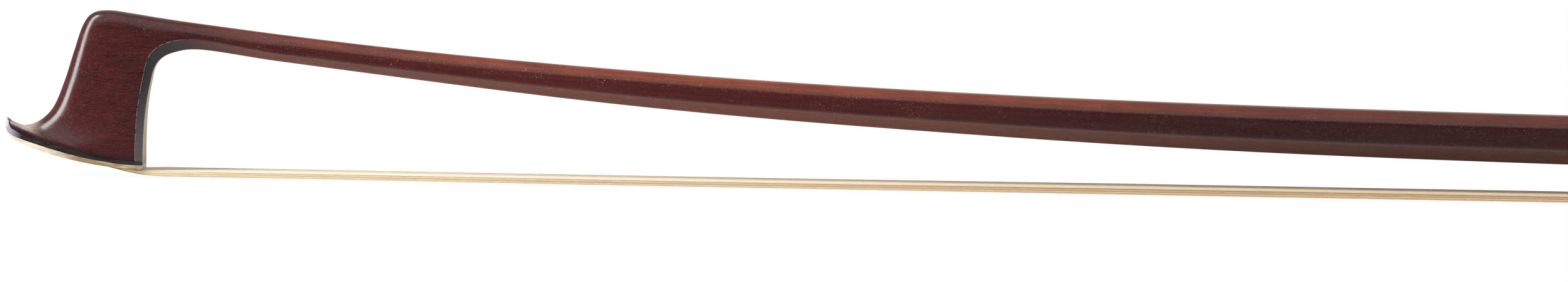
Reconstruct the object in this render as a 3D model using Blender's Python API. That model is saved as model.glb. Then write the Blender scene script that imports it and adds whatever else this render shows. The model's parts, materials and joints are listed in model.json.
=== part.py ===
"""A violin bow for Blender 4.5. Run it with blender --background --python part.py.

The bow stands on Z = 0, hair side down, with its head at -X and its screw button at +X.
Sizes are millimetres, and every mesh is scaled to metres as it is made. A distance is measured
along X from the tip of the head. The handle has its own axes, which rise a little towards the
button: x there runs from the front of the ferrule, and z from the axis of the stick.
"""

import math
from collections import namedtuple

import bmesh
import bpy
from mathutils import Matrix, Vector

MM = 0.001

# Where the bow lies: the tip of the head, so that the bow is centred on X = 0
BEAK_X = -372.0

# The stick: (distance, height of its axis above the hair, slope), then (distance, width, slope)
CAMBER = (
    (40.0, 21.17, -0.118),
    (100.0, 15.30, -0.077),
    (160.0, 11.92, -0.043),
    (240.0, 9.84, -0.014),
    (340.0, 9.40, 0.003),
    (500.0, 11.65, 0.0255),
)
TAPER = (
    (40.0, 4.18, 0.010),
    (65.0, 4.52, 0.025),
    (90.0, 5.28, 0.029),
    (140.0, 6.27, 0.017),
    (190.0, 7.20, 0.016),
    (240.0, 7.70, 0.007),
    (420.0, 8.35, 0.003),
    (600.0, 8.60, 0.0),
    (760.0, 8.60, 0.0),
)
STICK_RING_SPACING = 16.0
STICK_START = 42.0
STICK_END = 730.0
HANDLE_START = 640.0
HANDLE_SLOPE = 0.0445
HANDLE_FLATS = 8.6
FACET = math.tan(math.radians(22.5))

# The head, as sections from under the plate up and over into the stick. Each section runs from
# a point on the front outline to one on the back outline. Half-widths are along Y.
Section = namedtuple(
    "Section",
    "front_x front_z back_x back_z ridge edge_in edge cheek belly chamfer throat lift_x lift_z",
)
HEAD = (
    Section(-0.9, 4.75, 22.80, -0.85, 0.50, 1.00, 1.25, 5.20, 1.15, 1.15, 4.10, 0.0, 0.0),
    Section(-0.6, 7.95, 22.80, 0.65, 0.50, 1.00, 1.25, 5.20, 1.15, 1.15, 4.10, 1.2, 1.1),
    Section(2.8, 7.70, 22.80, 2.85, 0.45, 1.10, 1.70, 5.10, 0.95, 1.15, 4.00, 0.0, 0.0),
    Section(5.6, 8.20, 22.80, 4.65, 0.35, 1.25, 2.30, 4.90, 0.60, 1.20, 3.75, 0.0, 0.0),
    Section(8.1, 10.50, 22.85, 6.95, 0.30, 1.30, 2.65, 4.60, 0.20, 1.20, 3.45, 0.0, 0.0),
    Section(9.9, 14.85, 23.00, 9.75, 0.30, 1.30, 2.60, 4.15, 0.0, 1.25, 3.00, 0.0, 0.0),
    Section(11.3, 19.45, 23.30, 12.45, 0.30, 1.30, 2.40, 3.70, 0.0, 1.30, 2.60, 0.0, 0.0),
    Section(12.7, 23.75, 23.75, 15.05, 0.30, 1.15, 2.25, 3.25, 0.0, 1.40, 2.20, 0.0, 0.0),
    Section(14.3, 25.75, 24.15, 16.85, 0.35, 0.85, 2.20, 3.00, 0.0, 1.50, 2.00, 0.0, 0.0),
    Section(17.0, 26.20, 24.80, 18.15, 0.45, 0.70, 2.25, 2.80, 0.0, 1.65, 1.80, 0.0, 0.0),
    Section(20.6, 25.77, 25.85, 19.08, 0.55, 0.75, 2.25, 2.60, 0.0, 1.80, 1.55, 0.0, 0.0),
    Section(24.5, 25.19, 27.35, 19.72, 0.65, 0.85, 2.25, 2.40, 0.0, 1.80, 1.30, 0.0, 0.0),
    Section(29.0, 24.59, 29.90, 20.22, 0.75, 1.00, 2.20, 2.25, 0.0, 1.60, 1.10, 0.0, 0.0),
    Section(34.2, 23.97, 33.60, 20.02, 0.85, 1.15, 2.15, 2.15, 0.0, 1.45, 0.95, 0.0, 0.0),
)
HEAD_STEPS = 3
CHEEK_SHARES = (0.25, 0.5, 0.75)
LOWER_HEAD_RINGS = 11

# Outlines in side view, (distance, height), of the plate and of the joints above it
NOSE = ((1.15, 9.65), (0.95, 9.05), (0.49, 7.90), (0.0, 6.65))
PLATE_BOTTOM = ((0.0, 6.65), (1.2, 6.05), (3.2, 4.88), (8.2, 3.25), (15.0, 1.85), (24.0, 0.85))
PLATE_JOINT = (
    (1.02, 9.90), (0.95, 8.60), (0.85, 7.60), (1.10, 6.65), (1.90, 6.00),
    (3.70, 5.15), (9.20, 3.86), (13.75, 2.83), (19.00, 2.05), (24.00, 1.72),
)
LINER_JOINT = (
    (1.18, 9.90), (1.25, 8.60), (1.45, 7.70), (2.10, 6.95), (3.70, 6.15),
    (5.80, 5.50), (9.20, 4.68), (13.70, 3.64), (19.00, 2.75), (24.00, 2.27),
)
GLUE = 0.04
CUT_HALF_WIDTH = 8.0

# The mortise in the head: (front, back, half-width, height) at its mouth and at its top
TIP_MORTISE = ((10.6, 18.6, 3.0, 0.5), (11.4, 17.8, 2.1, 9.2))

# Hair: (outer x, outer z, inner x, inner z, half-width) from the knot to where it runs free
TIP_HAIR = (
    (13.8, 8.70, 16.9, 8.70, 1.60),
    (13.9, 8.00, 16.8, 8.00, 1.60),
    (13.9, 7.00, 16.8, 7.00, 1.60),
    (13.5, 5.60, 17.7, 5.60, 2.10),
    (13.6, 3.60, 18.1, 3.60, 2.45),
    (13.9, 2.15, 18.3, 1.95, 2.75),
    (17.4, 1.00, 18.4, 1.26, 3.10),
    (19.8, 0.46, 20.0, 1.05, 3.70),
    (22.3, 0.12, 22.4, 0.85, 4.25),
    (24.0, 0.0, 24.0, 0.80, 4.50),
    (26.0, 0.0, 26.0, 0.80, 4.60),
)
TIP_THREAD = (13.6, 17.1, 1.90, 7.1, 7.9)
THREAD_WALL = 0.22
HAIR_THICKNESS = 1.0
HAIR_HALF_WIDTH = 5.4
HAIR_FREE_START = 26.1

# Grip: (start, end, wall) along the stick
GAP = 0.05
WINDING = (566.0, 635.8, 0.35)
LEATHER = (636.2, 668.6, 0.85)

# The frog in the handle's axes
FERRULE_FRONT = 672.0
FROG_DEPTH = 18.5
FROG_TOP = -1.9
FROG_HEEL = 47.5
FROG_THUMB = 1.5
FROG_HALF_TOP = 5.2
FROG_HALF_BOTTOM = 6.6
SLIDE_CLEARANCE = 0.08
UNDERSLIDE_WALL = 0.35
UNDERSLIDE_PIN = (0.6, -7.2, -4.42)
UNDERSLIDE_PIN_PLACES = (13.5, 41.5)
THROAT = (6.6, -9.3, 4.0)
SHOULDER = 10.05
FERRULE = (0.0, 10.0)
FERRULE_WALL = 0.45
FERRULE_TOP = -13.2
FERRULE_SIDE = 1.5
FERRULE_SPRING = 2.1
DOME_STEPS = 16
TONGUE_BOTTOM = -15.25
HEEL_PLATE = 0.6
HEEL_PLATE_START = 40.0
HEEL_PLATE_TOP = -5.3
HEEL_RADIUS = 2.0
HEEL_PIN = (0.5, 3.0)
HEEL_PIN_HEIGHTS = (-8.2, -13.2)
HEEL_PIN_UNDER = 42.5
PIN_SIDES = 12
EYE = (24.5, -11.3)
EYE_PEARL_RADIUS = 3.1
EYE_RING = (3.85, 4.55)
EYE_DEPTH = 1.0
SLIDE = (10.3, 39.7)
SLIDE_HALF = (5.2, 5.6)
PEARL_THICKNESS = 0.9
SLIDE_TOP = -16.4
FROG_MORTISE = (19.5, 32.0, 4.2, -9.4)
FROG_THREAD = (20.1, 25.7, 2.9, -12.6, -11.6)

# Screw, eyelet and button, on the handle's axis
SCREW_PITCH = 0.8
SCREW_RADIUS = 1.5
SCREW_ROOT = 1.2
SCREW_START = 6.5
SCREW_THREAD = (14.0, 31.0)
SCREW_STOP = 69.0
BORE_RADIUS = 1.6
EYELET = (22.0, 26.0)
EYELET_HALF_WIDTH = 2.35
EYELET_HEIGHTS = (-3.7, 2.4)
EYELET_CORNER = 0.8
EYELET_SHANK = (1.3, -8.2)
EYELET_SLOT = (17.5, 28.5, 2.5, 2.7)
HANDLE_END = STICK_END - FERRULE_FRONT
NIPPLE = (2.3, 1.8)
BUTTON_START = HANDLE_END + 0.3
BUTTON_RING_END = 61.5
BUTTON_CAP_START = 67.0
BUTTON_END = 72.0
FRONT_TENON = 3.2
REAR_TENON = 2.9
BUTTON_PEARL = 1.95

ROUND = 32
FLAT = 0.0001


# Curves and places

def along(knots, distance):
    """The value at a distance on a smooth curve through (distance, value, slope) knots."""
    for (start, low, slope_in), (stop, high, slope_out) in zip(knots, knots[1:]):
        if distance <= stop:
            break
    span = stop - start
    share = (distance - start) / span
    square, cube = share ** 2, share ** 3
    return (
        low * (2 * cube - 3 * square + 1)
        + slope_in * span * (cube - 2 * square + share)
        + high * (3 * square - 2 * cube)
        + slope_out * span * (cube - square)
    )


def blend(before, start, stop, after, share):
    """A value between start and stop on a smooth curve through four neighbours."""
    square, cube = share ** 2, share ** 3
    return 0.5 * (
        2 * start
        + (stop - before) * share
        + (2 * before - 5 * start + 4 * stop - after) * square
        + (3 * start - before - 3 * stop + after) * cube
    )


def smooth(rows, steps):
    """Rows of numbers with steps - 1 smoothly placed rows added between each two."""
    before = [2 * a - b for a, b in zip(rows[0], rows[1])]
    after = [2 * a - b for a, b in zip(rows[-1], rows[-2])]
    every = [before, *rows, after]
    result = []
    for first, start, stop, last in zip(every, every[1:], every[2:], every[3:]):
        for step in range(steps):
            share = step / steps
            result.append([blend(*four, share) for four in zip(first, start, stop, last)])
    result.append(list(rows[-1]))
    return result


def arc(centre_x, centre_z, radius, start, stop, steps):
    """Points on an arc, with its angles in degrees from +x towards +z."""
    points = []
    for step in range(steps + 1):
        angle = math.radians(start + (stop - start) * step / steps)
        points.append((centre_x + radius * math.cos(angle), centre_z + radius * math.sin(angle)))
    return points


def shifted(points, distance):
    """An open outline moved sideways, to its left as it runs."""
    result = []
    for index, (x, z) in enumerate(points):
        before = points[max(index - 1, 0)]
        after = points[min(index + 1, len(points) - 1)]
        way = Vector((after[0] - before[0], after[1] - before[1])).normalized()
        result.append((x - way.y * distance, z + way.x * distance))
    return result


def ferrule_axis_height():
    """How high the stick's axis is above the ground at the front of the ferrule."""
    return FROG_DEPTH * math.cos(math.atan(HANDLE_SLOPE))


def hair_floor(distance):
    """The height of the hair's lower face above the ground."""
    at_ferrule = FERRULE_WALL + GAP
    start = TIP_HAIR[-1][0]
    return max(0.0, at_ferrule * (distance - start) / (FERRULE_FRONT - start))


def axis_height(distance):
    """The height of the stick's axis above the ground."""
    if distance >= HANDLE_START:
        return ferrule_axis_height() + (distance - FERRULE_FRONT) * HANDLE_SLOPE
    handle_height = ferrule_axis_height() + (HANDLE_START - FERRULE_FRONT) * HANDLE_SLOPE
    last = (HANDLE_START, handle_height - hair_floor(HANDLE_START), HANDLE_SLOPE)
    return hair_floor(distance) + along((*CAMBER, last), distance)


# Shapes

def closed_skin(shape):
    """A shape with its faces turned outwards and those that aren't flat split into triangles."""
    bmesh.ops.recalc_face_normals(shape, faces=shape.faces)
    bent = []
    for face in shape.faces:
        corner = face.verts[0].co
        if any(abs((vertex.co - corner).dot(face.normal)) > FLAT for vertex in face.verts):
            bent.append(face)
    bmesh.ops.triangulate(shape, faces=bent)
    return shape


def loft(rings, closed=False):
    """A skin over rings of equal count. Unless the rings close on themselves, the ends are capped."""
    shape = bmesh.new()
    rows = [[shape.verts.new(point) for point in ring] for ring in rings]
    pairs = list(zip(rows, rows[1:]))
    if closed:
        pairs.append((rows[-1], rows[0]))
    for row, other in pairs:
        for index in range(len(row)):
            after = (index + 1) % len(row)
            shape.faces.new((row[index], row[after], other[after], other[index]))
    if not closed:
        shape.faces.new(rows[0])
        shape.faces.new(rows[-1])
    return closed_skin(shape)


def slab(outline, half_width):
    """An outline in side view thickened along Y. The half-width is a number or a function of z."""
    width = half_width if callable(half_width) else lambda z: half_width
    near = [Vector((x, -width(z), z)) for x, z in outline]
    far = [Vector((x, width(z), z)) for x, z in outline]
    return loft([near, far])


def extruded(outline, start, stop):
    """An outline of (y, z) points drawn along x."""
    return loft([[Vector((x, y, z)) for y, z in outline] for x in (start, stop)])


def turned(profile, sides=ROUND, hollow=False):
    """A profile of (x, radius) points turned about the x axis. A third value, true, gives that
    point's ring the handle's eight flats instead of a circle."""
    rings = []
    for x, radius, *flats in profile:
        ring = []
        for side in range(sides):
            angle = 2 * math.pi * side / sides
            facet = (angle + math.pi / 8) % (math.pi / 4) - math.pi / 8
            reach = radius / math.cos(facet) if flats else radius
            ring.append(Vector((x, reach * math.sin(angle), reach * math.cos(angle))))
        rings.append(ring)
    return loft(rings, closed=hollow)


def box(x, y, z):
    """A block between two limits on each axis."""
    return extruded(((y[0], z[0]), (y[1], z[0]), (y[1], z[1]), (y[0], z[1])), *x)


def upright(shape):
    """A shape turned so that its x axis points along +z."""
    bmesh.ops.transform(shape, matrix=Matrix.Rotation(-math.pi / 2, 4, "Y"), verts=shape.verts)
    return shape


def moved(shape, x=0.0, y=0.0, z=0.0):
    """A shape shifted from where it was made."""
    bmesh.ops.translate(shape, vec=(x, y, z), verts=shape.verts)
    return shape


def joined(*shapes):
    """Several separate solids as one shape."""
    whole = bmesh.new()
    for shape in shapes:
        mesh = bpy.data.meshes.new("part of a group")
        shape.to_mesh(mesh)
        whole.from_mesh(mesh)
        bpy.data.meshes.remove(mesh)
        shape.free()
    return whole


def placed(name, shape, parent, on_bow=False):
    """A mesh object made from a shape in millimetres, under its parent. A shape on the bow is
    measured from the tip of the head."""
    if on_bow:
        moved(shape, x=BEAK_X)
    bmesh.ops.scale(shape, vec=(MM, MM, MM), verts=shape.verts)
    mesh = bpy.data.meshes.new(name)
    shape.to_mesh(mesh)
    shape.free()
    piece = bpy.data.objects.new(name, mesh)
    piece.parent = parent
    bpy.context.collection.objects.link(piece)
    return piece


def finished(piece, material, angle=35.0):
    """Gives a piece its material and smooth shading between its sharp edges."""
    piece.data.materials.append(material)
    piece.data.shade_smooth()
    piece.data.set_sharp_from_angle(angle=math.radians(angle))
    return piece


def tool(name, shape, parent, on_bow=False):
    """A hidden shape that other pieces are cut with."""
    cutter = placed(name, shape, parent, on_bow)
    cutter.hide_render = True
    cutter.display_type = "WIRE"
    return cutter


def carve(piece, cutter, operation="DIFFERENCE"):
    """Cuts a piece with a tool, joins the tool to it, or keeps what lies inside the tool."""
    modifier = piece.modifiers.new(cutter.name, "BOOLEAN")
    modifier.operation = operation
    modifier.solver = "EXACT"
    modifier.object = cutter


def empty(name, location=(0.0, 0.0, 0.0), turn=0.0, parent=None):
    """A marker that carries pieces, with a turn about Y."""
    marker = bpy.data.objects.new(name, None)
    marker.location = Vector(location) * MM
    marker.rotation_euler = (0.0, turn, 0.0)
    marker.parent = parent
    bpy.context.collection.objects.link(marker)
    return marker


# Materials

def surface(name, colour, roughness, metallic=0.0):
    """A Principled material of one colour."""
    material = bpy.data.materials.new(name)
    material.use_nodes = True
    shader = material.node_tree.nodes["Principled BSDF"]
    shader.inputs["Base Color"].default_value = (*colour, 1.0)
    shader.inputs["Roughness"].default_value = roughness
    shader.inputs["Metallic"].default_value = metallic
    return material


def bow_wood():
    return surface("bow_wood", (0.095, 0.022, 0.018), 0.3)


def ebony():
    return surface("ebony", (0.012, 0.010, 0.010), 0.35)


def bone():
    return surface("bone", (0.72, 0.64, 0.47), 0.4)


def horsehair():
    return surface("horsehair", (0.78, 0.68, 0.50), 0.55)


def maple():
    return surface("maple", (0.62, 0.42, 0.22), 0.5)


def waxed_thread():
    return surface("waxed_thread", (0.45, 0.05, 0.04), 0.6)


def silver():
    return surface("silver", (0.83, 0.81, 0.77), 0.22, 1.0)


def brass():
    return surface("brass", (0.75, 0.52, 0.20), 0.3, 1.0)


def steel():
    return surface("steel", (0.50, 0.50, 0.50), 0.3, 1.0)


def pearl():
    return surface("pearl", (0.75, 0.78, 0.76), 0.15)


def goatskin():
    return surface("goatskin", (0.045, 0.018, 0.012), 0.55)


# The stick and its head

def section_ring(section):
    """The outline of one cross-section, down one side and up the other."""
    front = Vector((section.front_x, section.front_z))
    back = Vector((section.back_x, section.back_z))
    way = (back - front).normalized()
    edge = front + way * section.edge_in
    rear = back - way * section.chamfer
    lift = Vector((section.lift_x, section.lift_z))
    edge += lift / 2
    side = [(front + lift, section.ridge), (edge, section.edge)]
    for share in CHEEK_SHARES:
        straight = section.edge + (section.cheek - section.edge) * share
        side.append((edge.lerp(rear, share), straight + 4 * section.belly * share * (1 - share)))
    side.append((rear, section.cheek))
    side.append((back, section.throat))
    right = [Vector((point.x, y, point.y)) for point, y in side]
    left = [Vector((point.x, -y, point.z)) for point, y in zip(right, [p.y for p in right])]
    return right + left[::-1]


def stick_section(distance, grow=0.0):
    """The octagon across the stick at a distance, square to its axis, grown by a wall."""
    step = 0.5
    rise = axis_height(distance + step) - axis_height(distance - step)
    tangent = Vector((2 * step, rise)).normalized()
    centre = Vector((distance, axis_height(distance)))
    half = along(TAPER, distance) / 2 + grow
    up = Vector((-tangent.y, tangent.x)) * half
    front, back = centre + up, centre - up
    facet = half * FACET
    return Section(
        front.x, front.y, back.x, back.y, facet, half - facet, half, half, 0.0,
        half - facet, facet, 0.0, 0.0,
    )


def head_rings():
    """The rings of the head, from below its plate to where the octagon starts."""
    rows = [*HEAD[1:], stick_section(STICK_START), stick_section(STICK_START + 6.0)]
    rings = [section_ring(HEAD[0])]
    rings += [section_ring(Section(*row)) for row in smooth(rows, HEAD_STEPS)]
    return rings


def stick_rings(start, stop, grow=0.0):
    """Octagons along the stick."""
    count = max(1, round((stop - start) / STICK_RING_SPACING))
    spots = [start + (stop - start) * step / count for step in range(count + 1)]
    return [section_ring(stick_section(spot, grow)) for spot in spots]


def side_band(upper, lower):
    """A slab across the head between two side-view curves."""
    return slab([*upper, *reversed(lower)], CUT_HALF_WIDTH)


def below_liner():
    """All that lies in front of and below the wood of the head."""
    curve = smooth(LINER_JOINT, 2)
    around = [(26.0, 2.2), (26.0, -4.0), (-4.0, -4.0), (-4.0, 9.9)]
    return slab([*curve, *around], CUT_HALF_WIDTH)


def tip_mortise_shape():
    """The pocket for the knot, wider at its mouth."""
    rings = []
    for front, back, half, height in TIP_MORTISE:
        rings.append([
            Vector((front, -half, height)), Vector((back, -half, height)),
            Vector((back, half, height)), Vector((front, half, height)),
        ])
    mouth = [Vector((corner.x, corner.y, -1.0)) for corner in rings[0]]
    return loft([mouth, *rings])


def stick(bow, handle, tip_mortise):
    """The head, the octagonal stick and the nipple that carries the button, from one piece."""
    body = head_rings()
    body += stick_rings(STICK_START + 16.0, HANDLE_START)
    body += stick_rings(HANDLE_START + 16.0, STICK_END)
    piece = placed("stick", loft(body), bow, on_bow=True)
    radius, length = NIPPLE
    nipple = turned(((HANDLE_END - 3.0, radius), (HANDLE_END + length, radius)))
    carve(piece, tool("nipple_tool", nipple, handle), "UNION")
    carve(piece, tool("below_liner_tool", below_liner(), bow, on_bow=True))
    carve(piece, tip_mortise)
    bore = turned(((SCREW_START - 1.0, BORE_RADIUS), (HANDLE_END + length + 1.0, BORE_RADIUS)))
    carve(piece, tool("screw_bore_tool", bore, handle))
    start, stop, half, top = EYELET_SLOT
    slot = box((start, stop), (-half, half), (-8.0, top))
    carve(piece, tool("eyelet_slot_tool", slot, handle))
    return finished(piece, bow_wood())


def lower_head(name, band, bow, tip_mortise):
    """The part of the head's form that lies in a band under the wood."""
    piece = placed(name, loft(head_rings()[:LOWER_HEAD_RINGS]), bow, on_bow=True)
    carve(piece, tool(name + "_tool", band, bow, on_bow=True), "INTERSECT")
    carve(piece, tip_mortise)
    return piece


def tip_liner(bow, tip_mortise):
    """A thin layer of ebony between the wood and the plate."""
    upper = shifted(smooth(LINER_JOINT, 2), -GLUE)
    band = side_band(upper, smooth(PLATE_JOINT, 2))
    return finished(lower_head("tip_liner", band, bow, tip_mortise), ebony())


def tip_plate(bow, tip_mortise):
    """The bone plate, which turns up at the nose."""
    upper = shifted(smooth(PLATE_JOINT, 2), -GLUE)
    band = side_band(upper, [*NOSE[:-1], *smooth(PLATE_BOTTOM, 3)])
    return finished(lower_head("tip_plate", band, bow, tip_mortise), bone())


def tip_plug(bow):
    """The wooden plug in front of the knot."""
    outline = ((10.8, 2.75), (13.45, 2.2), (13.3, 5.6), (11.6, 8.2), (11.5, 8.2))
    return finished(placed("tip_plug", slab(outline, 2.0), bow, on_bow=True), maple())


def hair_run(name, runs, parent, on_bow):
    """Hair of changing width between an outer and an inner line."""
    rings = []
    for outer_x, outer_z, inner_x, inner_z, half in runs:
        rings.append([
            Vector((outer_x, -half, outer_z)), Vector((inner_x, -half, inner_z)),
            Vector((inner_x, half, inner_z)), Vector((outer_x, half, outer_z)),
        ])
    return finished(placed(name, loft(rings), parent, on_bow), horsehair())


def thread_band(name, band, parent, on_bow):
    """Waxed thread bound round a knot, as a ring of square section."""
    front, back, half, low, high = band
    rings = []
    for inset, height in ((0.0, low), (0.0, high), (THREAD_WALL, high), (THREAD_WALL, low)):
        rings.append([
            Vector((front + inset, inset - half, height)),
            Vector((back - inset, inset - half, height)),
            Vector((back - inset, half - inset, height)),
            Vector((front + inset, half - inset, height)),
        ])
    shape = loft(rings, closed=True)
    return finished(placed(name, shape, parent, on_bow), waxed_thread())


def hair_ribbon(bow):
    """The free hair, from the head to the mouth of the ferrule."""
    stop = FERRULE_FRONT - 0.4
    rings = []
    for step in range(5):
        share = step / 4
        distance = HAIR_FREE_START + (stop - HAIR_FREE_START) * share
        half = TIP_HAIR[-1][4] + (HAIR_HALF_WIDTH - TIP_HAIR[-1][4]) * share
        low = hair_floor(distance)
        high = low + TIP_HAIR[-1][3] + (HAIR_THICKNESS - TIP_HAIR[-1][3]) * share
        rings.append([
            Vector((distance, -half, low)), Vector((distance, -half, high)),
            Vector((distance, half, high)), Vector((distance, half, low)),
        ])
    return finished(placed("hair_ribbon", loft(rings), bow, on_bow=True), horsehair())


def sleeve(name, grip, bow, material):
    """A covering of even thickness round the stick."""
    start, stop, wall = grip
    outer = stick_rings(start, stop, GAP + wall)
    inner = stick_rings(start, stop, GAP)
    shape = loft([*outer, *inner[::-1]], closed=True)
    return finished(placed(name, shape, bow, on_bow=True), material)


# The frog

def frog_half(z):
    """Half the frog's width at a height under the axis."""
    share = (FROG_TOP - z) / (FROG_DEPTH + FROG_TOP)
    return FROG_HALF_TOP + (FROG_HALF_BOTTOM - FROG_HALF_TOP) * share


def frog_outline():
    """The frog's ebony in side view."""
    back = FROG_HEEL - HEEL_PLATE - GAP
    under = HEEL_PLATE + GAP - FROG_DEPTH
    centre_x, centre_z, radius = THROAT
    drop = math.degrees(math.acos((SHOULDER - centre_x) / radius))
    round_in = HEEL_RADIUS - HEEL_PLATE
    return [
        (FROG_THUMB, FROG_TOP),
        (FROG_THUMB, -4.9),
        *arc(centre_x, centre_z, radius, 105.0, -drop, 14),
        (SHOULDER, -FROG_DEPTH),
        (HEEL_PLATE_START - GAP, -FROG_DEPTH),
        (HEEL_PLATE_START - GAP, under),
        *arc(back - round_in, under + round_in, round_in, -90.0, 0.0, 4),
        (back, HEEL_PLATE_TOP + GAP),
        (FROG_HEEL, HEEL_PLATE_TOP + GAP),
        (FROG_HEEL, FROG_TOP),
    ]


def lower_octagon(half):
    """The three facets under the handle, from one side to the other."""
    facet = half * FACET
    return [(half, -facet), (facet, -half), (-facet, -half), (-half, -facet)]


def dome(inset, start):
    """The domed top of the ferrule, drawn in by an inset, between two angles from its sides."""
    half = frog_half(-FROG_DEPTH + FERRULE_SIDE) - inset
    spring = -FROG_DEPTH + FERRULE_SPRING
    rise = FERRULE_TOP - inset - spring
    points = []
    for step in range(DOME_STEPS + 1):
        angle = start + (math.pi - 2 * start) * step / DOME_STEPS
        points.append((half * math.cos(angle), spring + rise * math.sin(angle)))
    return points


def d_outline(inset):
    """The ferrule's section: a flat underside with small corners, and a domed top."""
    low = -FROG_DEPTH + inset
    arch = dome(inset, 0.0)
    half = arch[0][0]
    return [(0.5 - half, low), (half - 0.5, low), (half, low + 0.5), *arch, (-half, low + 0.5)]


def tongue_outline():
    """The section of the tongue that fills the ferrule's top."""
    inset = FERRULE_WALL + GAP
    spring = -FROG_DEPTH + FERRULE_SPRING
    return dome(inset, math.asin((TONGUE_BOTTOM - spring) / (FERRULE_TOP - inset - spring)))


def eye_matrix(side):
    """Where an eye's axis leaves the frog's side: side is 1 or -1."""
    x, z = EYE
    lean = math.atan((FROG_HALF_BOTTOM - FROG_HALF_TOP) / (FROG_DEPTH + FROG_TOP))
    place = Matrix.Translation((x, side * frog_half(z), z))
    return place @ Matrix.Rotation(-side * lean, 4, "X") @ Matrix.Rotation(side * math.pi / 2, 4, "Z")


def eye_shape(side, profile, hollow=False):
    """A round inlay whose x axis points out of the frog's side."""
    shape = turned(profile, hollow=hollow)
    bmesh.ops.transform(shape, matrix=eye_matrix(side), verts=shape.verts)
    return shape


def eye_pockets():
    """The pockets for both pearl dots and the grooves for both rings."""
    floor = -EYE_DEPTH - GAP
    inner, outer = EYE_RING[0] - GAP, EYE_RING[1] + GAP
    pearl_hole = ((floor, EYE_PEARL_RADIUS + GAP), (1.0, EYE_PEARL_RADIUS + GAP))
    groove = ((floor, inner), (floor, outer), (1.0, outer), (1.0, inner))
    shapes = []
    for side in (1, -1):
        shapes.append(eye_shape(side, pearl_hole))
        shapes.append(eye_shape(side, groove, hollow=True))
    return joined(*shapes)


def pin(radius, low, high, x):
    """An upright pin."""
    return moved(upright(turned(((low, radius), (high, radius)), sides=PIN_SIDES)), x=x)


def underslide_pin_shapes(extra=0.0, rise=0.0):
    """Two pins through the bottom facet of the underslide, or holes for them."""
    radius, low, high = UNDERSLIDE_PIN
    return [pin(radius + extra, low - extra, high + rise, x) for x in UNDERSLIDE_PIN_PLACES]


def heel_pin_shapes(extra=0.0):
    """Two pins through the heel plate's back and one through its underside, or holes for them."""
    radius, length = (size + extra for size in HEEL_PIN)
    beyond = 1.0 if extra else 0.0
    shapes = []
    for z in HEEL_PIN_HEIGHTS:
        profile = ((FROG_HEEL - length, radius), (FROG_HEEL + beyond, radius))
        shapes.append(moved(turned(profile, sides=PIN_SIDES), z=z))
    shapes.append(pin(radius, -FROG_DEPTH - beyond, length - FROG_DEPTH, HEEL_PIN_UNDER))
    return shapes


def hair_tray():
    """The way for the hair under the frog, with the dovetail for its slide."""
    low, high = SLIDE_HALF
    top = SLIDE_TOP + GAP
    stop = HEEL_PLATE_START - GAP - 0.15
    section = [(low + GAP, -FROG_DEPTH - 0.01), (high + GAP, top), (-high - GAP, top)]
    section.append((-low - GAP, -FROG_DEPTH - 0.01))
    dovetail = extruded(section, SHOULDER - 1.0, stop)
    path = [(9.0, -17.4), (9.0, -16.4), (13.2, -15.05), (21.0, -15.05), (21.0, -17.4)]
    return dovetail, slab(path, HAIR_HALF_WIDTH + 0.1)


def frog_block(frog):
    """The ebony body: channel above, tongue in front, mortise and slide groove below."""
    piece = placed("frog_block", slab(frog_outline(), frog_half), frog)
    tongue = extruded(tongue_outline(), FERRULE[0] + 0.6, SHOULDER + 1.5)
    carve(piece, tool("tongue_tool", tongue, frog), "UNION")
    half = HANDLE_FLATS / 2 + SLIDE_CLEARANCE + UNDERSLIDE_WALL + GAP
    channel = extruded([*lower_octagon(half), (-half, 1.0), (half, 1.0)], -1.0, FROG_HEEL + 1.0)
    carve(piece, tool("channel_tool", channel, frog))
    dovetail, tray = hair_tray()
    carve(piece, tool("slide_groove_tool", dovetail, frog))
    carve(piece, tool("hair_tray_tool", tray, frog))
    start, stop, half, top = FROG_MORTISE
    mortise = box((start, stop), (-half, half), (-17.0, top))
    carve(piece, tool("frog_mortise_tool", mortise, frog))
    radius, low = EYELET_SHANK
    shank_hole = pin(radius + GAP, low - 0.2, -3.0, sum(EYELET) / 2)
    holes = joined(shank_hole, *underslide_pin_shapes(GAP, rise=1.4))
    carve(piece, tool("block_holes_tool", holes, frog))
    carve(piece, tool("heel_pin_tool", joined(*heel_pin_shapes(GAP)), frog))
    carve(piece, tool("eye_tool", eye_pockets(), frog))
    return finished(piece, ebony())


def underslide(frog):
    """Silver folded over three facets of the handle, with holes for the eyelet and two pins."""
    inner = HANDLE_FLATS / 2 + SLIDE_CLEARANCE
    outer = inner + UNDERSLIDE_WALL
    section = [*lower_octagon(outer), *lower_octagon(inner)[::-1]]
    piece = placed("underslide", extruded(section, FROG_THUMB + 0.1, FROG_HEEL - 0.2), frog)
    radius, low = EYELET_SHANK
    shank_hole = pin(radius + 3 * GAP, low, -3.0, sum(EYELET) / 2)
    holes = joined(shank_hole, *underslide_pin_shapes(GAP, rise=1.4))
    carve(piece, tool("underslide_holes_tool", holes, frog))
    return finished(piece, silver())


def underslide_pins(frog):
    """Two silver pins that hold the underslide to the ebony."""
    for word, shape in zip(("front", "rear"), underslide_pin_shapes()):
        finished(placed("underslide_pin_" + word, shape, frog), silver())


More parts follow.
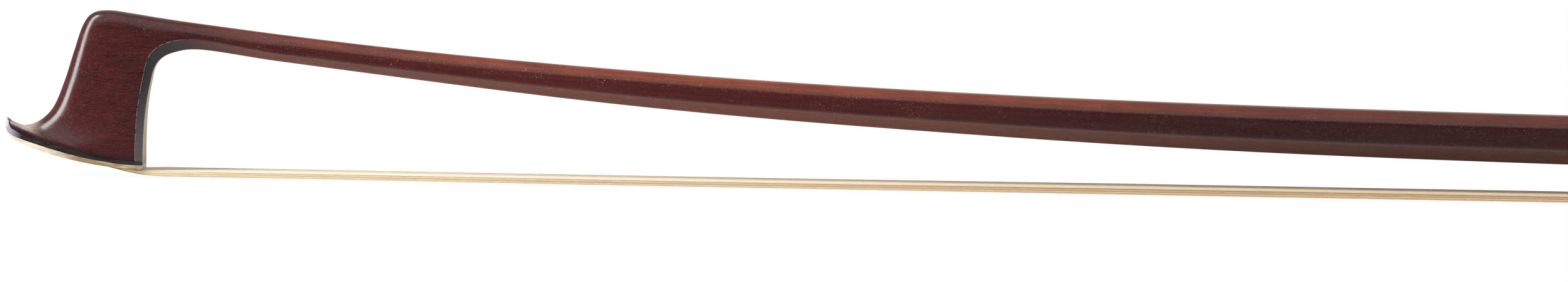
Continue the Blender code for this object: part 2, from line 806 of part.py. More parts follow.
def eyelet(frog):
    """The brass nut on the screw, whose shank stands in the frog."""
    start, stop = EYELET
    half = EYELET_HALF_WIDTH
    low, high = EYELET_HEIGHTS
    section = [(half, low), (half, high - EYELET_CORNER), (half - EYELET_CORNER, high)]
    section += [(-y, z) for y, z in reversed(section)]
    piece = placed("eyelet", extruded(section, start, stop), frog)
    shank_radius, foot = EYELET_SHANK
    shank = pin(shank_radius, foot, low + 0.5, (start + stop) / 2)
    carve(piece, tool("eyelet_shank_tool", shank, frog), "UNION")
    radius = SCREW_RADIUS + GAP
    hole = turned(((start - 1.0, radius), (stop + 1.0, radius)))
    carve(piece, tool("eyelet_hole_tool", hole, frog))
    return finished(piece, brass())


def ferrule(frog):
    """The D-shaped silver ring over the tongue and the hair."""
    start, stop = FERRULE
    outer, inner = d_outline(0.0), d_outline(FERRULE_WALL)
    rings = []
    for outline, x in ((outer, start), (outer, stop), (inner, stop), (inner, start)):
        rings.append([Vector((x, y, z)) for y, z in outline])
    return finished(placed("ferrule", loft(rings, closed=True), frog), silver())


def spread_wedge(frog):
    """The maple wedge that presses the hair flat in the ferrule."""
    outline = ((0.4, -16.85), (9.0, -16.85), (9.0, -15.7), (0.4, -15.32))
    return finished(placed("spread_wedge", slab(outline, HAIR_HALF_WIDTH), frog), maple())


def frog_hair(frog):
    """The hair in the ferrule, over the slide and up to its knot."""
    low = FERRULE_WALL + GAP - FROG_DEPTH
    half = HAIR_HALF_WIDTH
    high = low + HAIR_THICKNESS
    runs = (
        (-0.3, low, -0.3, high, half),
        (9.0, low, 8.8, high, half),
        (10.2, -17.5, 9.9, -16.55, half),
        (13.6, -16.28, 13.2, -15.25, half),
        (19.8, -16.28, 19.7, -15.25, 4.0),
        (25.6, -16.28, 20.2, -14.6, 3.9),
        (26.0, -14.6, 19.9, -14.0, 3.6),
        (25.4, -12.8, 20.4, -12.8, 2.6),
        (25.4, -11.4, 20.4, -11.4, 2.6),
        (25.6, -10.0, 20.2, -10.0, 3.0),
    )
    return hair_run("frog_hair", runs, frog, on_bow=False)


def frog_plug(frog):
    """The wooden plug behind the knot in the frog's mortise."""
    outline = ((26.3, -16.3), (31.9, -16.3), (31.9, -9.6), (26.6, -9.6))
    return finished(placed("frog_plug", slab(outline, 4.0), frog), maple())


def slide_base(frog):
    """The ebony slide, bevelled in front where the hair passes over it."""
    low = -FROG_DEPTH + PEARL_THICKNESS + GAP
    start, stop = SLIDE
    outline = ((start + 0.8, low), (stop, low), (stop, SLIDE_TOP), (start + 3.6, SLIDE_TOP))
    return finished(placed("slide_base", slab(outline, slide_half), frog), ebony())


def slide_half(z):
    """Half the width of the slide, which is wider above."""
    low, high = SLIDE_HALF
    share = (z + FROG_DEPTH) / (SLIDE_TOP + FROG_DEPTH)
    return low + (high - low) * share


def slide_pearl(frog):
    """The mother-of-pearl face of the slide."""
    start, stop = SLIDE
    high = -FROG_DEPTH + PEARL_THICKNESS
    outline = ((start, -FROG_DEPTH), (stop, -FROG_DEPTH), (stop, high), (start, high))
    return finished(placed("slide_pearl", slab(outline, slide_half), frog), pearl())


def heel_plate(frog):
    """Silver bent round the frog's heel."""
    round_in = HEEL_RADIUS - HEEL_PLATE
    low = -FROG_DEPTH
    back = FROG_HEEL
    centre = (back - HEEL_RADIUS, low + HEEL_RADIUS)
    outline = [
        (HEEL_PLATE_START, low),
        *arc(*centre, HEEL_RADIUS, -90.0, 0.0, 5),
        (back, HEEL_PLATE_TOP),
        (back - HEEL_PLATE, HEEL_PLATE_TOP),
        *arc(*centre, round_in, 0.0, -90.0, 5),
        (HEEL_PLATE_START, low + HEEL_PLATE),
    ]
    piece = placed("heel_plate", slab(outline, frog_half), frog)
    carve(piece, tool("heel_plate_pin_tool", joined(*heel_pin_shapes(GAP)), frog))
    return finished(piece, silver())


def heel_pins(frog):
    """Three silver pins through the heel plate."""
    for word, shape in zip(("upper", "lower", "under"), heel_pin_shapes()):
        finished(placed("heel_pin_" + word, shape, frog), silver())


def eyes(frog):
    """A pearl dot and a silver ring let into each side of the frog."""
    inner, outer = EYE_RING
    ring = ((-EYE_DEPTH, inner), (-EYE_DEPTH, outer), (0.0, outer), (0.0, inner))
    dot = ((-EYE_DEPTH, EYE_PEARL_RADIUS), (0.0, EYE_PEARL_RADIUS))
    for side, word in ((1, "left"), (-1, "right")):
        finished(placed("eye_ring_" + word, eye_shape(side, ring, hollow=True), frog), silver())
        finished(placed("eye_pearl_" + word, eye_shape(side, dot), frog), pearl())


# The screw and its button

def thread_shape():
    """A screw thread as one helical skin, closed to a point at each end inside the core."""
    start, stop = SCREW_THREAD
    sides = 12
    rows = 2 * int((stop - start) / SCREW_PITCH)
    shape = bmesh.new()
    columns = []
    for side in range(sides):
        angle = 2 * math.pi * side / sides
        column = []
        for row in range(rows + 1):
            radius = SCREW_RADIUS if row % 2 else SCREW_ROOT
            x = start + SCREW_PITCH * (row / 2 + side / sides)
            column.append(shape.verts.new((x, radius * math.sin(angle), radius * math.cos(angle))))
        columns.append(column)
    for side, column in enumerate(columns):
        last = side == sides - 1
        other = columns[0] if last else columns[side + 1]
        ahead = 2 if last else 0
        for row in range(rows - ahead):
            shape.faces.new((column[row], column[row + 1], other[row + 1 + ahead], other[row + ahead]))
    front = [column[0] for column in columns] + [columns[0][2], columns[0][1]]
    back = [column[-1] for column in columns] + [columns[-1][-2], columns[-1][-3]]
    for loop, x in ((front, start + SCREW_PITCH), (back, stop - SCREW_PITCH)):
        tip = shape.verts.new((x, 0.0, 0.0))
        for index, corner in enumerate(loop):
            shape.faces.new((corner, loop[(index + 1) % len(loop)], tip))
    return closed_skin(shape)


def screw(button):
    """The steel screw: a front pin, a thread and a plain shank that ends in the button."""
    start, stop = SCREW_THREAD
    core = SCREW_ROOT - 0.1
    profile = (
        (SCREW_START, 0.8), (SCREW_START + 0.4, core), (stop + 0.4, core),
        (stop + 0.8, SCREW_RADIUS), (SCREW_STOP, SCREW_RADIUS),
    )
    piece = placed("screw", turned(profile, sides=24), button)
    carve(piece, tool("thread_tool", thread_shape(), button), "UNION")
    return finished(piece, steel())


def button_core(button):
    """The ebony middle of the button, waisted, with a tenon for each silver end."""
    half = HANDLE_FLATS / 2 - 0.1
    start, stop = BUTTON_RING_END + GAP, BUTTON_CAP_START - GAP
    length = stop - start
    radius, reach = NIPPLE
    recess_end = HANDLE_END + reach + 0.3
    bore = SCREW_RADIUS + GAP
    profile = [
        (SCREW_STOP + 0.3, bore), (recess_end, bore), (recess_end, radius + 0.1),
        (BUTTON_START + 0.1, radius + 0.1), (BUTTON_START + 0.1, FRONT_TENON), (start, FRONT_TENON),
    ]
    for share, drawn in ((0.0, 0.0), (0.15, 0.25), (0.5, 0.55), (0.85, 0.25), (1.0, 0.0)):
        profile.append((start + length * share, half - drawn, True))
    profile += [(stop, REAR_TENON), (BUTTON_CAP_START + 3.0, REAR_TENON)]
    return finished(placed("button_core", turned(profile), button), ebony())


def button_front_ring(button):
    """The silver ring next to the stick."""
    half = HANDLE_FLATS / 2
    hole = FRONT_TENON + GAP
    profile = (
        (BUTTON_START, hole), (BUTTON_START, half - 0.2, True), (BUTTON_START + 0.2, half, True),
        (BUTTON_RING_END - 0.2, half, True), (BUTTON_RING_END, half - 0.2, True),
        (BUTTON_RING_END, hole),
    )
    return finished(placed("button_front_ring", turned(profile, hollow=True), button), silver())


def button_rear_cap(button):
    """The silver cup on the end, with a seat for its pearl."""
    half = HANDLE_FLATS / 2
    cup = REAR_TENON + GAP
    seat = BUTTON_PEARL + GAP
    profile = (
        (BUTTON_CAP_START + 3.05, cup), (BUTTON_CAP_START, cup),
        (BUTTON_CAP_START, half - 0.2, True), (BUTTON_CAP_START + 0.2, half, True),
        (BUTTON_END - 1.0, half, True), (BUTTON_END, half - 0.8, True),
        (BUTTON_END, seat), (BUTTON_END - 0.85, seat),
    )
    return finished(placed("button_rear_cap", turned(profile), button), silver())


def button_pearl(button):
    """The pearl eye in the end of the button."""
    shape = turned(((BUTTON_END - 0.8, BUTTON_PEARL), (BUTTON_END, BUTTON_PEARL)))
    return finished(placed("button_pearl", shape, button), pearl())


def main():
    """Clears the scene and builds the bow."""
    for old in list(bpy.data.objects):
        bpy.data.objects.remove(old)
    bow = empty("bow")
    spot = (BEAK_X + FERRULE_FRONT, 0.0, ferrule_axis_height())
    handle = empty("handle_axis", spot, -math.atan(HANDLE_SLOPE), bow)
    frog = empty("frog_carriage", parent=handle)
    button = empty("button_spindle", parent=handle)

    tip_mortise = tool("tip_mortise_tool", tip_mortise_shape(), bow, on_bow=True)
    stick(bow, handle, tip_mortise)
    tip_liner(bow, tip_mortise)
    tip_plate(bow, tip_mortise)
    tip_plug(bow)
    hair_run("tip_hair", TIP_HAIR, bow, on_bow=True)
    thread_band("tip_knot_thread", TIP_THREAD, bow, on_bow=True)
    hair_ribbon(bow)
    sleeve("wire_winding", WINDING, bow, silver())
    sleeve("thumb_leather", LEATHER, bow, goatskin())

    frog_block(frog)
    underslide(frog)
    underslide_pins(frog)
    eyelet(frog)
    ferrule(frog)
    spread_wedge(frog)
    frog_hair(frog)
    thread_band("frog_knot_thread", FROG_THREAD, frog, on_bow=False)
    frog_plug(frog)
    slide_base(frog)
    slide_pearl(frog)
    heel_plate(frog)
    heel_pins(frog)
    eyes(frog)

    screw(button)
    button_core(button)
    button_front_ring(button)
    button_rear_cap(button)
    button_pearl(button)


main()
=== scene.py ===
"""The looks of a violin bow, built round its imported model.

The bow lies hair side down on Z = 0, with its head at -X. Sizes are millimetres and meshes are
metres. A distance is measured along X from the tip of the head.
"""

import json
import math

import bpy
import numpy as np
from mathutils import Matrix, Vector


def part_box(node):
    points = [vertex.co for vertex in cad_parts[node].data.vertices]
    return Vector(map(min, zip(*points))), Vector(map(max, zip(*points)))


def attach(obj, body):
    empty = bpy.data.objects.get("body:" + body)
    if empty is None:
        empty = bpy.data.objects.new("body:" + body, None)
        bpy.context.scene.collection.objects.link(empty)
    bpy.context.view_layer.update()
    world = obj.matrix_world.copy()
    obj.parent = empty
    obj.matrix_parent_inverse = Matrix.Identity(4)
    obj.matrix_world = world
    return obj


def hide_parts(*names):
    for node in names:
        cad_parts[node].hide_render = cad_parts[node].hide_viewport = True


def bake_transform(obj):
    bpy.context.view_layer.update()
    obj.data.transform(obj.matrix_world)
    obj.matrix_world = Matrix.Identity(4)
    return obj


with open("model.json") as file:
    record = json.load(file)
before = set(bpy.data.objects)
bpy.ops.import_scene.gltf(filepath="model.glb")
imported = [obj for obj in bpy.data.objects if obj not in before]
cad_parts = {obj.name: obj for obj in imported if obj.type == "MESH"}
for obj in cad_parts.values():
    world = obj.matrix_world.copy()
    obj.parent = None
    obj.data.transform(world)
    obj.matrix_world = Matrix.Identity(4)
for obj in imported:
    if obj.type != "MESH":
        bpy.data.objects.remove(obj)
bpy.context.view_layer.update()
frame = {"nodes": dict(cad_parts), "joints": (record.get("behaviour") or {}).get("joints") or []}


# Stick and head: one billet of pernambuco, bent over heat, planed to eight flats and carved at the
# end into a head. Its arrises are softened by hand, and it has a thin satin varnish. Its sides are
# darkest, its upper flats lighter, partly faded and partly a painted highlight, and its lower flats
# lighter as a painted reflection. The chamfers behind the head are stained nearly black.

MM = 0.001
HEAD_TIP = -372.0

# The axis above the hair, as (distance, height, slope), and the size across flats in the same way
CAMBER = (
    (40.0, 21.17, -0.118),
    (100.0, 15.30, -0.077),
    (160.0, 11.92, -0.043),
    (240.0, 9.84, -0.014),
    (340.0, 9.40, 0.003),
    (500.0, 11.65, 0.0255),
)
TAPER = (
    (40.0, 4.18, 0.010),
    (65.0, 4.52, 0.025),
    (90.0, 5.28, 0.029),
    (140.0, 6.27, 0.017),
    (190.0, 7.20, 0.016),
    (240.0, 7.70, 0.007),
    (420.0, 8.35, 0.003),
    (600.0, 8.60, 0.0),
    (760.0, 8.60, 0.0),
)

# How much narrower the upper slanting flats are than an octagon's, as (distance, share, slope)
NARROWED = (
    (40.0, 0.0, 0.0),
    (65.0, 0.0, 0.0),
    (110.0, 0.26, 0.0),
    (460.0, 0.26, 0.0),
    (560.0, 0.0, 0.0),
    (760.0, 0.0, 0.0),
)

# Where the octagons, the handle, the ferrule and the hair start, with the rings' spacing, the slopes,
# the frog's depth under the handle's axis, and the hair's lift on its way to the ferrule
STICK_START = 42.0
SECOND_OCTAGON = 48.0
THIRD_OCTAGON = 56.0
STICK_END = 730.0
STICK_RING_SPACING = 8.0
SLOPE_STEP = 0.5
HANDLE_START = 640.0
HANDLE_SLOPE = 0.0445
FERRULE_FRONT = 672.0
FROG_DEPTH = 18.5
HAIR_START = 26.0
HAIR_LIFT = 0.5
FACET = math.tan(math.radians(22.5))

# One row for each section of the head: its two ends in side view, then half-widths and insets
(
    FRONT_X, FRONT_Z, BACK_X, BACK_Z, RIDGE, EDGE_IN, EDGE,
    CHEEK, BELLY, CHAMFER, THROAT, LIFT_X, LIFT_Z,
) = range(13)
HEAD = (
    (-0.9, 4.75, 22.80, -0.85, 0.50, 1.00, 1.25, 5.20, 1.15, 1.15, 4.10, 0.0, 0.0),
    (-0.6, 7.95, 22.80, 0.65, 0.50, 1.00, 1.25, 5.20, 1.15, 1.15, 4.10, 1.2, 1.1),
    (2.8, 7.70, 22.80, 2.85, 0.45, 1.10, 1.70, 5.10, 0.95, 1.15, 4.00, 0.0, 0.0),
    (5.6, 8.20, 22.80, 4.65, 0.35, 1.25, 2.30, 4.90, 0.60, 1.20, 3.75, 0.0, 0.0),
    (8.1, 10.50, 22.85, 6.95, 0.30, 1.30, 2.65, 4.60, 0.20, 1.20, 3.45, 0.0, 0.0),
    (9.9, 14.85, 23.00, 9.75, 0.30, 1.30, 2.60, 4.15, 0.0, 1.25, 3.00, 0.0, 0.0),
    (11.3, 19.45, 23.30, 12.45, 0.30, 1.30, 2.40, 3.70, 0.0, 1.30, 2.60, 0.0, 0.0),
    (12.7, 23.75, 23.75, 15.05, 0.30, 1.15, 2.25, 3.25, 0.0, 1.40, 2.20, 0.0, 0.0),
    (14.3, 25.75, 24.15, 16.85, 0.35, 0.85, 2.20, 3.00, 0.0, 1.50, 2.00, 0.0, 0.0),
    (17.0, 26.20, 24.80, 18.15, 0.45, 0.70, 2.25, 2.80, 0.0, 1.65, 1.80, 0.0, 0.0),
    (20.6, 25.77, 25.85, 19.08, 0.55, 0.75, 2.25, 2.60, 0.0, 1.80, 1.55, 0.0, 0.0),
    (24.5, 25.19, 27.35, 19.72, 0.65, 0.85, 2.25, 2.40, 0.0, 1.80, 1.30, 0.0, 0.0),
    (29.0, 24.59, 29.90, 20.22, 0.75, 1.00, 2.20, 2.25, 0.0, 1.60, 1.10, 0.0, 0.0),
    (34.2, 23.97, 33.60, 20.02, 0.85, 1.15, 2.15, 2.15, 0.0, 1.45, 0.95, 0.0, 0.0),
)
HEAD_STEPS = 9
LOWER_HEAD_RINGS = 1 + 3 * HEAD_STEPS + 4

# How far each arris is rounded, from ridge to throat, on the head and on the stick, and the head's
# rows between which the one becomes the other
HEAD_ROUNDING = (0.25, 3.0, 0.07, 0.20)
STICK_ROUNDING = (0.45, 0.55, 0.35, 0.30)
ROUNDING_ROWS = (9.0, 14.0)

# A rounded corner's steps, its share of the places round a ring, the most of a facet that it may
# take, and the steps across a cheek
CORNER_STEPS = 6
CORNER_SPAN = 0.1
MOST_ROUNDED = 0.7
CHEEK_STEPS = 6


def along(knots, distance):
    """The value at a distance on a smooth curve through (distance, value, slope) knots."""
    for (start, low, slope_in), (stop, high, slope_out) in zip(knots, knots[1:]):
        if distance <= stop:
            break
    span = stop - start
    share = (distance - start) / span
    square, cube = share ** 2, share ** 3
    return (
        low * (2 * cube - 3 * square + 1)
        + slope_in * span * (cube - 2 * square + share)
        + high * (3 * square - 2 * cube)
        + slope_out * span * (cube - square)
    )


def smooth(rows, steps):
    """Rows of numbers with steps - 1 smoothly placed rows added between each two."""
    rows = np.array(rows, float)
    every = [2 * rows[0] - rows[1], *rows, 2 * rows[-1] - rows[-2]]
    result = []
    for first, start, stop, last in zip(every, every[1:], every[2:], every[3:]):
        for step in range(steps):
            share = step / steps
            square, cube = share ** 2, share ** 3
            result.append(0.5 * (
                2 * start
                + (stop - first) * share
                + (2 * first - 5 * start + 4 * stop - last) * square
                + (3 * start - first - 3 * stop + last) * cube
            ))
    result.append(rows[-1])
    return result


def hair_floor(distance):
    """The height of the hair's lower face above the ground."""
    return max(0.0, HAIR_LIFT * (distance - HAIR_START) / (FERRULE_FRONT - HAIR_START))


def axis_height(distance):
    """The height of the stick's axis above the ground."""
    at_ferrule = FROG_DEPTH * math.cos(math.atan(HANDLE_SLOPE))
    if distance >= HANDLE_START:
        return at_ferrule + (distance - FERRULE_FRONT) * HANDLE_SLOPE
    handle_height = at_ferrule + (HANDLE_START - FERRULE_FRONT) * HANDLE_SLOPE
    last = (HANDLE_START, handle_height - hair_floor(HANDLE_START), HANDLE_SLOPE)
    return hair_floor(distance) + along((*CAMBER, last), distance)


def stick_section(distance, grow=0.0):
    """The octagon across the stick at a distance, square to its axis, grown by a wall."""
    rise = axis_height(distance + SLOPE_STEP) - axis_height(distance - SLOPE_STEP)
    tangent = Vector((2 * SLOPE_STEP, rise)).normalized()
    centre = Vector((distance, axis_height(distance)))
    half = along(TAPER, distance) / 2 + grow
    up = Vector((-tangent.y, tangent.x)) * half
    front, back = centre + up, centre - up
    facet = half * FACET
    upper = (half - facet) * (1 - along(NARROWED, distance))
    return (
        front.x, front.y, back.x, back.y, facet, upper, half, half, 0.0,
        half - facet, facet, 0.0, 0.0,
    )


def section_ring(row, rounding):
    """One section as points round it, and each point's place: 0 at the middle of the top, 1 to 4
    at the arrises going down a side, and 5 at the middle of the bottom."""
    front, back = Vector((row[FRONT_X], 0.0, row[FRONT_Z])), Vector((row[BACK_X], 0.0, row[BACK_Z]))
    way = (back - front).normalized()
    lift = Vector((row[LIFT_X], 0.0, row[LIFT_Z]))
    edge = front + way * row[EDGE_IN] + lift / 2
    rear = back - way * row[CHAMFER]
    widths = (0.0, row[RIDGE], row[EDGE], row[CHEEK], row[THROAT], 0.0)
    spots = (front + lift, front + lift, edge, rear, back, back)
    corners = [spot + Vector((0.0, width, 0.0)) for spot, width in zip(spots, widths)]

    def on_facet(index, share):
        point = corners[index].lerp(corners[index + 1], share)
        if index == 2:
            point.y += 4 * row[BELLY] * share * (1 - share)
        return point

    points, places = [corners[0]], [0.0]
    for index in range(1, 5):
        most = MOST_ROUNDED if index == 2 else 1 - MOST_ROUNDED
        lengths = [(corners[index + side] - corners[index + side - 1]).length for side in (0, 1)]
        cuts = [min(rounding[index - 1] / max(length, 0.001), most) for length in lengths]
        start, stop = on_facet(index - 1, 1 - cuts[0]), on_facet(index, cuts[1])
        for step in range(CORNER_STEPS + 1):
            share = step / CORNER_STEPS
            before, after = start.lerp(corners[index], share), corners[index].lerp(stop, share)
            points.append(before.lerp(after, share))
            places.append(index + CORNER_SPAN * (2 * share - 1))
        if index == 2:
            last = 1 - min(rounding[2] / (corners[3] - corners[2]).length, 1 - MOST_ROUNDED)
            for step in range(1, CHEEK_STEPS):
                share = cuts[1] + (last - cuts[1]) * step / CHEEK_STEPS
                points.append(on_facet(2, share))
                places.append(2 + CORNER_SPAN + (1 - 2 * CORNER_SPAN) * step / CHEEK_STEPS)
    points.append(corners[5])
    places.append(5.0)
    mirrored = [Vector((point.x, -point.y, point.z)) for point in points[-2:0:-1]]
    return points + mirrored, places + places[-2:0:-1]


def head_rings():
    """The rings of the head, from below its plate to where the octagon starts."""
    rows = [*HEAD[1:], stick_section(STICK_START), stick_section(SECOND_OCTAGON)]
    low, high = ROUNDING_ROWS
    rings = [section_ring(HEAD[0], HEAD_ROUNDING)]
    for step, row in enumerate(smooth(rows, HEAD_STEPS)):
        share = min(max((step / HEAD_STEPS - low) / (high - low), 0.0), 1.0)
        rounding = [a + (b - a) * share for a, b in zip(HEAD_ROUNDING, STICK_ROUNDING)]
        rings.append(section_ring(row, rounding))
    return rings


def stick_rings(start, stop):
    """Octagons along the stick."""
    count = round((stop - start) / STICK_RING_SPACING)
    spots = [start + (stop - start) * step / count for step in range(count + 1)]
    return [section_ring(stick_section(spot), STICK_ROUNDING) for spot in spots]


MERGED = 1e-7


def skin(name, rings, shift=HEAD_TIP):
    """A closed skin over rings of points: a grid whose rows are laid on the rings. Where the rings
    have places, they are kept in a UV map, and so is where each point lies in the wood's grain."""
    placed = isinstance(rings[0], tuple)
    points = np.array([[tuple(point) for point in (ring[0] if placed else ring)] for ring in rings])
    count, around = points.shape[:2]
    bpy.ops.object.select_all(action="DESELECT")
    bpy.ops.mesh.primitive_grid_add(x_subdivisions=count - 1, y_subdivisions=around, size=1.0)
    piece = bpy.context.object
    piece.name = piece.data.name = name
    mesh = piece.data
    flat = np.empty(len(mesh.vertices) * 3)
    mesh.vertices.foreach_get("co", flat)
    row = np.rint((flat[0::3] + 0.5) * (count - 1)).astype(int)
    column = np.rint((flat[1::3] + 0.5) * around).astype(int) % around
    laid = points[row, column]
    mesh.vertices.foreach_set("co", ((laid + (shift, 0.0, 0.0)) * MM).ravel())
    mesh.uv_layers.remove(mesh.uv_layers[0])
    if placed:
        corner = np.empty(len(mesh.loops), int)
        mesh.loops.foreach_get("vertex_index", corner)
        places = np.array([ring[1] for ring in rings])[row, column]
        axis = np.array([axis_height(max(x, STICK_START)) for x in laid[:, 0]])
        facets = np.stack([places / 5, laid[:, 0] * MM], axis=1)
        grain = np.stack([laid[:, 0] * MM, (laid[:, 2] - axis) * MM], axis=1)
        for title, values in (("facets", facets), ("grain", grain)):
            mesh.uv_layers.new(name=title).data.foreach_set("uv", values[corner].ravel())
    bpy.ops.object.mode_set(mode="EDIT")
    bpy.ops.mesh.select_all(action="SELECT")
    bpy.ops.mesh.remove_doubles(threshold=MERGED)
    bpy.ops.mesh.fill_holes(sides=0)
    bpy.ops.mesh.select_all(action="SELECT")
    bpy.ops.mesh.normals_make_consistent(inside=False)
    bpy.ops.object.mode_set(mode="OBJECT")
    return piece


def slab(name, outline, half_width):
    """An outline of (x, z) points in side view, thickened along Y."""
    return skin(name, [[(x, y, z) for x, z in outline] for y in (-half_width, half_width)])


def cut(piece, cutter, operation="DIFFERENCE"):
    """Cuts a piece with a cutter, or keeps what lies inside it, and removes the cutter."""
    modifier = piece.modifiers.new("cut", "BOOLEAN")
    modifier.operation = operation
    modifier.solver = "EXACT"
    modifier.object = cutter
    bpy.ops.object.select_all(action="DESELECT")
    bpy.context.view_layer.objects.active = piece
    bpy.ops.object.modifier_apply(modifier=modifier.name)
    bpy.data.objects.remove(cutter)


def shaded(piece, angle):
    """Smooth shading between edges sharper than an angle in degrees."""
    bpy.ops.object.select_all(action="DESELECT")
    bpy.context.view_layer.objects.active = piece
    piece.select_set(True)
    bpy.ops.object.shade_smooth_by_angle(angle=math.radians(angle))


def linear(colour):
    """A hex sRGB colour as linear RGBA."""
    channels = [int(colour[index:index + 2], 16) / 255 for index in (1, 3, 5)]
    return (*(c / 12.92 if c <= 0.04045 else ((c + 0.055) / 1.055) ** 2.4 for c in channels), 1.0)


def surface(name, colour, **settings):
    """A Principled material, with its constant settings on the shader's own sockets."""
    material = bpy.data.materials.new(name)
    material.use_nodes = True
    shader = material.node_tree.nodes["Principled BSDF"]
    shader.inputs["Base Color"].default_value = linear(colour)
    for socket, value in settings.items():
        shader.inputs[socket.replace("_", " ")].default_value = value
    return material, shader


def add(material, kind, sockets=None, **settings):
    """Adds a node. Each socket gets a value, a hex colour, or a link from another node's output."""
    made = material.node_tree.nodes.new("ShaderNode" + kind)
    for setting, value in settings.items():
        setattr(made, setting, value)
    for socket, value in (sockets or {}).items():
        if isinstance(value, bpy.types.NodeSocket):
            material.node_tree.links.new(value, made.inputs[socket])
        else:
            made.inputs[socket].default_value = linear(value) if isinstance(value, str) else value
    return made


def finished(material, shader, **sockets):
    """The material, with outputs linked to the shader's sockets of those names."""
    for socket, output in sockets.items():
        material.node_tree.links.new(output, shader.inputs[socket.replace("_", " ")])
    return material


def grained(material, spot, size, detail=2.0, roughness=0.5, turn=(0.0, 0.0, 0.0)):
    """Noise whose grains have a size along X, Y and Z, in millimetres."""
    scale = [1 / (length * MM) for length in size]
    laid = add(material, "Mapping", {"Vector": spot, "Rotation": turn, "Scale": scale})
    sockets = {"Vector": laid.outputs[0], "Scale": 1.0, "Detail": detail, "Roughness": roughness}
    return add(material, "TexNoise", sockets).outputs["Fac"]


def product(material, *factors, soft=False):
    """The product of factors. Each is a number, an output, or an output with the two values that it
    is held between and the two that these become, which are 0 and 1 where they aren't given."""
    result = None
    for factor in factors:
        if isinstance(factor, tuple):
            value, low, high, *ends = factor
            first, last = ends or (0.0, 1.0)
            sockets = {"Value": value, "From Min": low, "From Max": high, "To Min": first, "To Max": last}
            run = "SMOOTHSTEP" if soft else "LINEAR"
            factor = add(material, "MapRange", sockets, interpolation_type=run).outputs[0]
        if result is not None:
            factor = add(material, "Math", {0: result, 1: factor}, operation="MULTIPLY").outputs[0]
        result = factor
    return result


# Sockets of a Mix node that mixes colours
FACTOR, FIRST, SECOND, MIXED = 0, 6, 7, 2


def painted(material, below, *layers):
    """Colours laid over one another. Each layer is a colour and how much of it shows."""
    for colour, shown in layers:
        sockets = {FACTOR: shown, FIRST: below, SECOND: colour}
        below = add(material, "Mix", sockets, data_type="RGBA").outputs[MIXED]
    return below


# Height of the joint between wood and liner: at the tip, its slope, and its bend
JOINT_CURVE = (8.05, -0.45, 0.0088)


